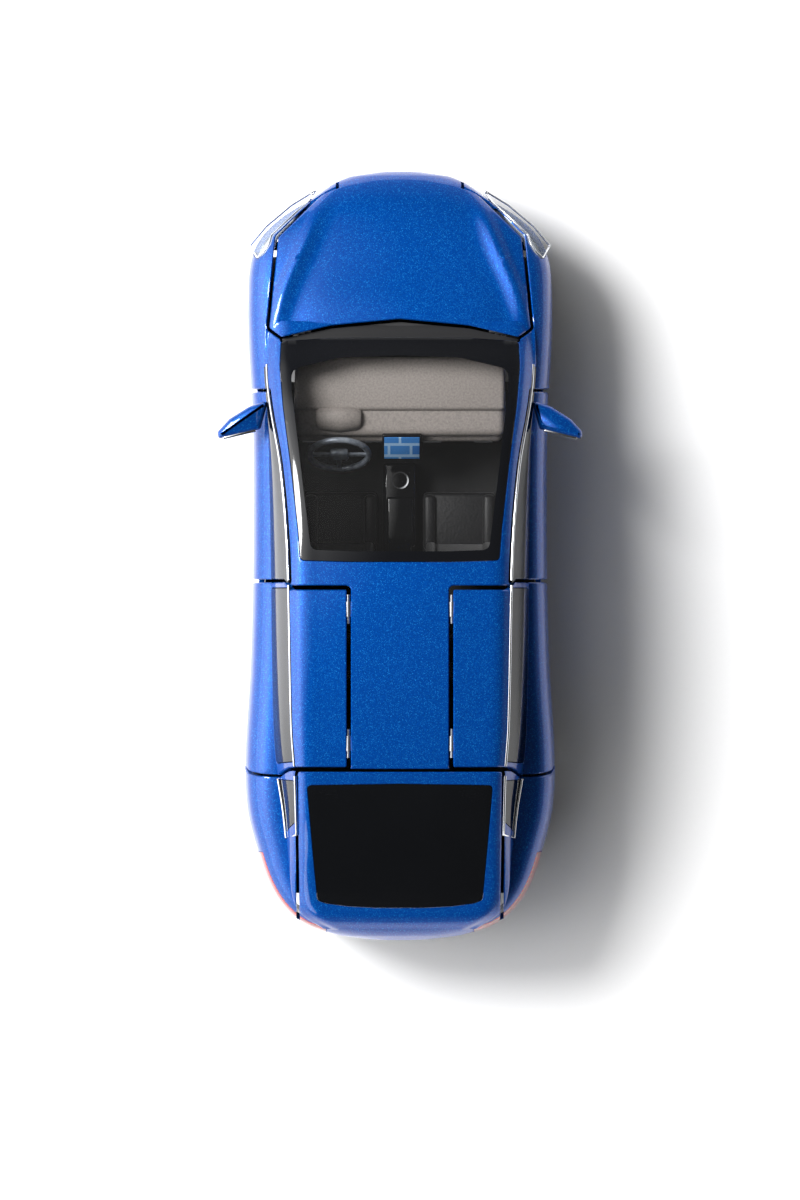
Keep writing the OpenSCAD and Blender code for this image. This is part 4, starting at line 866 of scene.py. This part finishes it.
class CAR_OT_trims(bpy.types.Operator):
    """Makes the bright line along each rail and round each quarter window"""
    bl_idname = "car.trims"
    bl_label = "Bright trims"

    def execute(self, context):
        radius = context.scene.car_sizes.trim
        fixed = []
        for name, sign in CAR_SIDES:
            fixed.append(swept_line("trim", rail_places(-38.6, 5.2, sign), radius))
            back = rail_places(44.6, 56.5, sign, 16)
            low = [(sign * (curve(BELT_X, u) + 0.05), u, curve(BELT_Z, u) + 0.9 - 0.05 * (u - 45))
                   for u in np.linspace(57.5, 45.4, 14)]
            fixed.append(swept_line("trim", back + low, radius))
            wing = swept_line(f"wing_trim_{name}", rail_places(6.2, 42.6, sign), radius)
            dress(wing, "chrome", f"wing_{name}")
        line = joined("rail_trim", fixed)
        smooth(line, 50)
        dress(line, "chrome", "root", ["window_trims"])
        return {"FINISHED"}


class CAR_OT_lamps(bpy.types.Operator):
    """Makes the headlights, the tail lamps, the grille and the diffuser"""
    bl_idname = "car.lamps"
    bl_label = "Lamps and grilles"

    def execute(self, context):
        lens = from_shell("headlight_lens", cutter(HEADLIGHT, "above", 22.5, 70, 0, -0.1, 0.5))
        lens = joined("headlight_lens_pair", [lens, mirrored(lens, "twin")])
        smooth(lens)
        dress(lens, "lens", "root", ["headlight_lenses"])
        bowl = from_shell("bowl", cutter(HEADLIGHT, "above", 22.5, 70, -0.1, 0, 0.5))
        for vertex in bowl.data.vertices:
            vertex.co.x *= 0.96
            vertex.co.z -= 1.1 * MM
            vertex.co.y += 0.6 * MM
        bowl = joined("headlight_bowl_pair", [bowl, mirrored(bowl, "twin")])
        smooth(bowl)
        dress(bowl, "silver", "root", ["headlight_reflectors"])
        loop = [(x, u, top_z(x, u) - 0.12) for x, u in grown(rounded(HEADLIGHT, 0.5), -0.25)]
        rim = swept_line("rim", loop + loop[:1], 0.2 * MM)
        rim = joined("headlight_rim_pair", [rim, mirrored(rim, "twin")])
        smooth(rim, 50)
        dress(rim, "chrome", "root")
        tail = from_shell("tail", block((21.1, 60.5, 27), (40, 90, 31.8)))
        tail = joined("tail_lamp_pair", [tail, mirrored(tail, "twin")])
        smooth(tail)
        dress(tail, "red", "root", ["tail_lights"])
        small = from_shell("small", block((15.1, 66.5, 27), (20.35, 90, 31.8)))
        small = joined("tailgate_lamp_pair", [small, mirrored(small, "twin")])
        smooth(small)
        dress(small, "red", "rear_lid", ["tailgate_lights"])
        bars = [from_shell("grille", block((-15, -90, 10.4), (15, -72.6, 14)))]
        for z in (11.3, 12.2, 13.1):
            carve(bars[0], block((-14.2, -90, z - 0.22), (14.2, -77.4, z + 0.22)))
        smooth(bars[0])
        dress(bars[0], "satin", "root", ["front_grille"])
        diffuser = from_shell("diffuser", block((-19, 70.6, 9), (19, 90, 15)))
        for x in (-12, -6, 0, 6, 12):
            carve(diffuser, block((x - 0.5, 77.6, 9.4), (x + 0.5, 90, 13.6)))
        smooth(diffuser)
        dress(diffuser, "satin", "root", ["rear_diffuser"])
        return {"FINISHED"}


# ---- pieces modelled from primitives ---------------------------------------------------
def rounded_block(name, low, high, bevel, segments=3):
    """A box between two corners in millimetres, with its edges bevelled."""
    centre = [(a + b) / 2 * MM for a, b in zip(low, high)]
    deselect()
    bpy.ops.mesh.primitive_cube_add(size=1, location=centre)
    piece = bpy.context.object
    piece.name = name
    piece.scale = [(b - a) * MM for a, b in zip(low, high)]
    bpy.ops.object.transform_apply(location=True, rotation=True, scale=True)
    bpy.ops.object.mode_set(mode="EDIT")
    bpy.ops.mesh.select_all(action="SELECT")
    bpy.ops.mesh.bevel(offset=bevel * MM, segments=segments, affect="EDGES")
    bpy.ops.object.mode_set(mode="OBJECT")
    return piece


def turned(name, profile, centre, steps=64):
    """Spins a profile of (along, radius) points in millimetres about the car's cross axis."""
    verts = [((centre[0] + a) * MM, centre[1] * MM, (centre[2] + r) * MM) for a, r in profile]
    mesh = bpy.data.meshes.new(name)
    mesh.from_pydata(verts, [(i, i + 1) for i in range(len(verts) - 1)], [])
    piece = bpy.data.objects.new(name, mesh)
    bpy.context.scene.collection.objects.link(piece)
    make_active(piece)
    bpy.ops.object.mode_set(mode="EDIT")
    bpy.ops.mesh.select_all(action="SELECT")
    bpy.ops.mesh.spin(steps=steps, angle=math.tau, center=[c * MM for c in centre], axis=(1, 0, 0))
    bpy.ops.object.mode_set(mode="OBJECT")
    return clean(piece, 0.001 * MM)


def rotated(piece, angle, centre, axis="X"):
    """Turns a piece's mesh about a centre in millimetres."""
    make_active(piece)
    bpy.ops.object.mode_set(mode="EDIT")
    bpy.ops.mesh.select_all(action="SELECT")
    bpy.ops.transform.rotate(value=-angle, orient_axis=axis, center_override=[c * MM for c in centre])
    bpy.ops.object.mode_set(mode="OBJECT")
    return piece


def mid(node):
    low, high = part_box(node)
    return [(a + b) / 2 / MM for a, b in zip(low, high)]


def make_tyre(axle):
    low, high = (Vector(c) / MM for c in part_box(axle.replace("axle", "tyres")))
    y, z = (low.y + high.y) / 2, (low.z + high.z) / 2
    outer, width = high.x, 9.0
    r = (high.z - low.z) / 2
    x0 = outer - width
    profile = [(0.25, 8.6), (0, 9.2), (0.15, 10.6), (0.7, 11.5), (1.5, 11.95)]
    for groove in (2.7, 4.5, 6.3):
        profile += [(groove - 0.35, 12), (groove - 0.25, 11.45), (groove + 0.25, 11.45), (groove + 0.35, 12)]
    profile += [(width - 1.5, 11.95), (width - 0.7, 11.5), (width - 0.15, 10.6), (width, 9.2),
                (width - 0.25, 8.6),
                (0.25, 8.6)]
    tyre = turned("tyre", [(a, p / 12 * r) for a, p in profile], (x0, y, z), 96)
    smooth(tyre, 35)
    return tyre, (x0, y, z)


def make_rim(centre):
    x0, y, z = centre
    barrel = turned("rim", [(0.5, 8.5), (8.6, 8.5), (8.75, 8.2), (8.6, 7.9), (7.4, 7.5), (1, 7.4),
                            (0.5, 7.7), (0.5, 8.5)],
                    centre, 96)
    hub = turned("hub", [(5.4, 0), (5.4, 2.3), (7.4, 2.3), (7.7, 2.0), (7.8, 1.2), (7.6, 0.9), (7.6, 0)],
                 centre, 48)
    parts = [barrel, hub]
    for index in range(5):
        for spread in (-0.11, 0.11):
            spoke = rounded_block("spoke", (x0 + 6.1, y - 0.5, z + 1.4), (x0 + 7.5, y + 0.5, z + 7.9), 0.2)
            rotated(spoke, math.tau * index / 5 + spread, (x0, y, z))
            parts.append(spoke)
    for index in range(5):
        angle = math.tau * index / 5 + 0.3
        parts.append(turned("nut", [(7.5, 0), (7.95, 0), (7.95, 0.3), (7.5, 0.34)],
                            (x0, y + 1.4 * math.sin(angle), z + 1.4 * math.cos(angle)), 12))
    back = turned("back", [(1.8, 0), (1.8, 7.5), (2.2, 7.5), (2.2, 2), (5.5, 1.9), (5.5, 0)], centre, 48)
    parts.append(back)
    rim = joined("rim", parts)
    smooth(rim, 35)
    return rim


class CAR_OT_wheels(bpy.types.Operator):
    """Makes the tyres and the five-spoke rims"""
    bl_idname = "car.wheels"
    bl_label = "Wheels"

    def execute(self, context):
        for end in ("front", "rear"):
            tyre, centre = make_tyre(f"{end}_axle")
            rim = make_rim(centre)
            tyre.name, rim.name = f"{end}_tyre_left", f"{end}_rim_left"
            for piece, material, slot, kind in ((tyre, "rubber", "tyre", "tyres"),
                                                (rim, "chrome", "bright_trim", "rims")):
                twin = mirrored(piece, piece.name.replace("left", "right"))
                for part in (piece, twin):
                    dress(part, material, f"{end}_wheels", [f"{end}_{kind}"])
        return {"FINISHED"}


class CAR_OT_mirrors(bpy.types.Operator):
    """Makes the door mirrors with their glass"""
    bl_idname = "car.mirrors"
    bl_label = "Mirrors"

    def execute(self, context):
        z = mid("mirror_left")[2] + 0.3
        plan = rounded([(26.7, -31.4), (30.6, -30.1), (34.6, -27.6), (37.0, -25.0), (36.9, -23.5),
                        (28.3, -25.5)], 0.7)
        rings = [(grown(plan, -0.9), z - 1.5), (grown(plan, -0.3), z - 1.2), (plan, z - 0.5), (plan, z + 0.4),
                 (grown(plan, -0.3), z + 1.1), (grown(plan, -0.9), z + 1.45)]
        verts = [(x, u, height) for ring, height in rings for x, u in ring]
        size = len(plan)
        faces = [(i * size + k, i * size + (k + 1) % size, (i + 1) * size + (k + 1) % size, (i + 1) * size + k)
                 for i in range(len(rings) - 1) for k in range(size)]
        faces += [tuple(range(size)), tuple(range(len(verts) - 1, len(verts) - size - 1, -1))]
        head = clean(new_object("mirror_left_shell", verts, faces))
        smooth(head, 60)
        glass = rounded_block("mirror_left_glass", (29.2, -24.75, z - 0.95), (36.0, -24.15, z + 0.95), 0.18)
        rotated(glass, math.radians(13.5), (32.6, -24.45, z), "Z")
        smooth(glass)
        for name, sign in CAR_SIDES:
            shell, pane = for_side(sign, head, glass)
            dress(shell, "paint", f"door_{name}", [f"mirror_{name}"])
            dress(pane, "chrome", f"door_{name}", [f"mirror_glass_{name}"])
        return {"FINISHED"}


def make_seat(name, centre_x, front_y, floor_z, width, length, back_h):
    """A seat: bolstered cushion, leaning back with side bolsters, and a headrest."""
    parts = [rounded_block("cushion", (centre_x - width / 2, front_y, floor_z),
                           (centre_x + width / 2, front_y + length, floor_z + 4), 1.0)]
    for side in (-1, 1):
        edge = centre_x + side * (width / 2 - 1.4)
        parts.append(rounded_block("bolster", (edge - 1.3, front_y + 0.5, floor_z + 2.6),
                                   (edge + 1.3, front_y + length - 1, floor_z + 5.0), 0.9))
    hinge = (centre_x, front_y + length, floor_z + 2)
    back = [rounded_block("back", (centre_x - width / 2 + 0.6, hinge[1] - 2.7, hinge[2] + 0.4),
                          (centre_x + width / 2 - 0.6, hinge[1], hinge[2] + back_h), 0.9)]
    for side in (-1, 1):
        edge = centre_x + side * (width / 2 - 1.7)
        back.append(rounded_block("bolster", (edge - 1.1, hinge[1] - 3.4, hinge[2] + 1.5),
                                  (edge + 1.1, hinge[1] - 0.6, hinge[2] + back_h - 2), 0.9))
    back.append(rounded_block("headrest", (centre_x - width / 4, hinge[1] - 2.6, hinge[2] + back_h - 0.2),
                              (centre_x + width / 4, hinge[1] - 0.5, hinge[2] + back_h + 3.8), 0.9))
    parts += [rotated(part, math.radians(-14), hinge, "X") for part in back]
    seat = joined(name, parts)
    smooth(seat, 40)
    return seat


class CAR_OT_cabin(bpy.types.Operator):
    """Makes the dashboard, steering wheel, screen, console and seats"""
    bl_idname = "car.cabin"
    bl_label = "Cabin"

    def execute(self, context):
        for node, width, length, back, label in (
                ("front_seats", 15, 13, 18, "front_seat"), ("middle_seats", 15, 8, 9, "middle_seat"),
                ("rear_seats", 11, 7, 5, "rear_seat")):
            low, high = (Vector(c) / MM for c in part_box(node))
            centre = high.x - width / 2
            left = make_seat(f"{label}_left", centre, low.y, low.z, width, length, back)
            for seat in (left, mirrored(left, f"{label}_right")):
                dress(seat, "leather", "root", [node])
        low, high = (Vector(c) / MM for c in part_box("dashboard"))
        dash = rounded_block("dash_top", (low.x, low.y, 22), (high.x, high.y - 1.2, 31), 1.6, 4)
        roll = rounded_block("dash_roll", (low.x + 0.6, high.y - 3.4, 24.5),
                             (high.x - 0.6, high.y - 0.2, 28.6), 1.3, 4)
        hood = turned("hood", [(-4.6, 0), (-4.6, 1.9), (-3.8, 2.5), (0, 2.9), (3.8, 2.5), (4.6, 1.9), (4.6, 0)],
                      (12.5, low.y + 6.6, 30.4), 48)
        shelf = rounded_block("shelf", (-21.4, -40.3, 29.4), (21.4, low.y + 5, 32.0), 0.9)
        board = joined("dashboard_moulding", [dash, roll, hood, shelf])
        smooth(board, 40)
        dress(board, "dash", "root", ["dashboard"])
        vents = []
        for x in (-17, -6.6, 5.6, 18):
            for row in range(3):
                vents.append(rounded_block("vent", (x - 1.9, high.y - 0.6, 25.4 + row * 0.9),
                                           (x + 1.9, high.y + 0.05, 25.8 + row * 0.9), 0.1, 1))
        vent = joined("air_vents", vents)
        smooth(vent)
        dress(vent, "chrome", "root")
        low, high = (Vector(c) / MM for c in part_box("centre_screen"))
        tilt, pivot = math.radians(-20), (0, (low.y + high.y) / 2, (low.z + high.z) / 2)
        case = rounded_block("screen_case", (low.x - 0.4, pivot[1] - 0.45, low.z),
                             (high.x + 0.4, pivot[1] + 0.35, high.z), 0.25)
        face = rounded_block("screen_face", (low.x, pivot[1] + 0.3, low.z + 0.5),
                             (high.x, pivot[1] + 0.5, high.z - 0.5), 0.08)
        for part, material in ((case, "gloss"), (face, "screen")):
            rotated(part, -tilt * 2.4, pivot, "X")
            smooth(part)
            dress(part, material, "root", ["centre_screen"])
        low, high = (Vector(c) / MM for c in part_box("centre_console"))
        base = rounded_block("console_base", (low.x, low.y, low.z), (high.x, high.y, low.z + 6), 0.7)
        lid = rounded_block("console_lid", (low.x + 0.6, low.y + 7, low.z + 5.6),
                            (high.x - 0.6, high.y - 0.4, high.z), 0.6)
        console = joined("console_moulding", [base, lid])
        smooth(console, 40)
        dress(console, "gloss", "root", ["centre_console"])
        cup = turned("tray_ring", [(-0.2, 1.5), (0.2, 1.5), (0.25, 1.8), (-0.25, 1.8), (-0.2, 1.5)],
                     (0, low.y + 3.6, low.z + 6.1), 32)
        rotated(cup, math.radians(90), (0, low.y + 3.6, low.z + 6.1), "Y")
        smooth(cup, 50)
        dress(cup, "chrome", "root")
        self.steering()
        return {"FINISHED"}

    def steering(self):
        low, high = (Vector(c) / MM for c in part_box("steering_wheel"))
        centre = ((low.x + high.x) / 2, high.y - 3.57, high.z - 6.05)
        deselect()
        bpy.ops.mesh.primitive_torus_add(major_segments=64, minor_segments=16, major_radius=6.0 * MM,
                                         minor_radius=0.62 * MM, location=[c * MM for c in centre])
        ring = bpy.context.object
        bpy.ops.object.transform_apply(location=True, rotation=True, scale=True)
        hub = rounded_block("hub", (centre[0] - 1.9, centre[1] - 1.5, centre[2] - 0.7),
                            (centre[0] + 1.9, centre[1] + 1.5, centre[2] + 0.7), 0.5)
        spokes = [rounded_block("spoke", (centre[0] - 5.7, centre[1] - 0.5, centre[2] - 0.3),
                                (centre[0] + 5.7, centre[1] + 0.5, centre[2] + 0.3), 0.2),
                  rounded_block("spoke", (centre[0] - 0.5, centre[1], centre[2] - 0.3),
                                (centre[0] + 0.5, centre[1] + 5.7, centre[2] + 0.3), 0.2)]
        wheel = joined("steering_wheel_rim", [ring, hub, *spokes])
        rotated(wheel, math.radians(-62), centre, "X")
        smooth(wheel, 50)
        # Painted light: the grey wheel takes the lighter silver reflector material, which brightens it against the
        # shade in the cabin.
        dress(wheel, "silver", "root", ["steering_wheel"])


class CAR_OT_mechanics(bpy.types.Operator):
    """Gives the chassis, axles, motor and hinges their materials"""
    bl_idname = "car.mechanics"
    bl_label = "Chassis, motor and hinges"

    def execute(self, context):
        kinds = {"black_plastic": "satin", "steel": "steel", "gear_plastic": "nylon", "body_paint": "paint",
                 "cabin_plastic": "dash", "bright_trim": "chrome", "tyre": "rubber", "dark_window": "dark",
                 "clear_window": "clear", "red_lamp": "red", "mirror_foil": "chrome", "screen_print": "screen"}
        slots = {row["node"]: row["material_slot"] for row in frame["record"]["subparts"]}
        for node, piece in frame["nodes"].items():
            piece.data.materials.clear()
            piece.data.materials.append(MATERIALS[kinds[slots[node]]])
        return {"FINISHED"}


class CAR_OT_stage(bpy.types.Operator):
    """Makes the pale floor, the soft studio light and the camera above the car"""
    bl_idname = "car.stage"
    bl_label = "Stage, light and camera"

    def execute(self, context):
        deselect()
        bpy.ops.mesh.primitive_plane_add(size=6)
        floor = bpy.context.object
        floor.name = "studio_floor"
        bpy.ops.object.transform_apply(location=True, rotation=True, scale=True)
        material, tree, shader, place = new_material("pale_paper", Roughness=0.9)
        fibre = add_node(tree, "ShaderNodeTexNoise", {"Scale": 1 / (0.8 * MM), "Detail": 2.0},
                         {"Vector": place})
        tone = ramp(tree, fibre.outputs["Fac"], (0.93, 0.93, 0.93), (0.95, 0.95, 0.95))
        tree.links.new(tone, shader.inputs["Base Color"])
        floor.data.materials.append(material)
        floor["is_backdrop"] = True

        world = bpy.data.worlds.new("soft_room")
        world.use_nodes = True
        tree = world.node_tree
        sky = add_node(tree, "ShaderNodeTexCoord")
        near = add_node(tree, "ShaderNodeVectorMath", {"operation": "DOT_PRODUCT", 1: (0.62, -0.3, 0.72)},
                        {0: sky.outputs["Generated"]})
        level = add_node(tree, "ShaderNodeMapRange", {
            "interpolation_type": "SMOOTHSTEP", "From Min": 0.76, "From Max": 0.98, "To Min": 0.05, "To Max": 2.0},
            {"Value": near.outputs["Value"]})
        side = add_node(tree, "ShaderNodeVectorMath", {"operation": "DOT_PRODUCT", 1: (0.99, 0.05, 0.1)},
                        {0: sky.outputs["Generated"]})
        band = add_node(tree, "ShaderNodeMapRange", {
            "interpolation_type": "SMOOTHSTEP", "From Min": 0.5, "From Max": 0.95, "To Min": 0.0, "To Max": 3.0},
            {"Value": side.outputs["Value"]})
        height = add_node(tree, "ShaderNodeSeparateXYZ", links={"Vector": sky.outputs["Generated"]})
        low = add_node(tree, "ShaderNodeMapRange", {
            "interpolation_type": "SMOOTHSTEP", "From Min": 0.6, "From Max": 0.05, "To Min": 0.0, "To Max": 0.3},
            {"Value": height.outputs["Z"]})
        total = level.outputs["Result"]
        for more in (band, low):
            total = add_node(tree, "ShaderNodeMath", {"operation": "ADD"},
                             {0: total, 1: more.outputs["Result"]}).outputs["Value"]
        tree.links.new(total, tree.nodes["Background"].inputs["Strength"])
        tree.nodes["Background"].inputs["Color"].default_value = (1, 1, 1, 1)
        context.scene.world = world
        aim = Vector((0, 0, 0.03))
        for name, place, size, power in (
                ("key_box", (0.52, -0.3, 0.74), 0.4, 11.6), ("rear_strip", (0.35, 0.6, 0.35), 0.3, 0.8)):
            light = bpy.data.lights.new(name, "AREA")
            light.energy, light.size, light.shape = power, size, "DISK"
            lamp = bpy.data.objects.new(name, light)
            lamp.location = place
            lamp.rotation_euler = (aim - Vector(place)).to_track_quat("-Z", "Y").to_euler()
            context.scene.collection.objects.link(lamp)

        # The camera looks straight down, with the car's nose at the top of the picture
        low, high = (Vector(corner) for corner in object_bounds())
        length = high.y - low.y
        distance, share, offset = 1.6, 770 / 1200, 45 / 770
        view = length / share
        camera = bpy.data.cameras.new("camera")
        camera.sensor_fit = "VERTICAL"
        camera.sensor_height = 36
        camera.lens = 36 * (distance - 0.028) / view
        camera.clip_start, camera.clip_end = 0.05, 10
        eye = bpy.data.objects.new("camera", camera)
        eye.location = ((low.x + high.x) / 2, (low.y + high.y) / 2 + offset * length, distance)
        eye.rotation_euler = (0, 0, math.pi)
        context.scene.collection.objects.link(eye)
        context.scene.camera = eye
        context.scene.view_settings.view_transform = "Standard"
        return {"FINISHED"}


OPERATORS = (CAR_OT_bodywork, CAR_OT_glazing, CAR_OT_trims, CAR_OT_lamps, CAR_OT_wheels, CAR_OT_mirrors,
             CAR_OT_cabin, CAR_OT_mechanics, CAR_OT_stage)


class CAR_PT_panel(bpy.types.Panel):
    """Lists the pieces of the car"""
    bl_idname = "CAR_PT_panel"
    bl_label = "Pull back car"
    bl_space_type = "VIEW_3D"
    bl_region_type = "UI"
    bl_category = "Pull back car"

    def draw(self, context):
        for group in (context.scene.car_sizes, context.scene.car_colours):
            for name in group.__annotations__:
                self.layout.prop(group, name)
        for operator in OPERATORS:
            self.layout.operator(operator.bl_idname)


CLASSES = (CarSizes, CarColours, *OPERATORS, CAR_PT_panel)


def register():
    for item in CLASSES:
        bpy.utils.register_class(item)
    bpy.types.Scene.car_sizes = bpy.props.PointerProperty(type=CarSizes)
    bpy.types.Scene.car_colours = bpy.props.PointerProperty(type=CarColours)


def unregister():
    del bpy.types.Scene.car_colours
    del bpy.types.Scene.car_sizes
    for item in reversed(CLASSES):
        bpy.utils.unregister_class(item)


def main():
    register()
    make_materials()
    bpy.ops.car.mechanics()
    bpy.ops.car.bodywork()
    bpy.ops.car.glazing()
    bpy.ops.car.trims()
    bpy.ops.car.lamps()
    bpy.ops.car.wheels()
    bpy.ops.car.mirrors()
    bpy.ops.car.cabin()
    for part in SHELL.values():
        bpy.data.objects.remove(part)
    bpy.ops.car.stage()


if __name__ == "__main__":
    main()
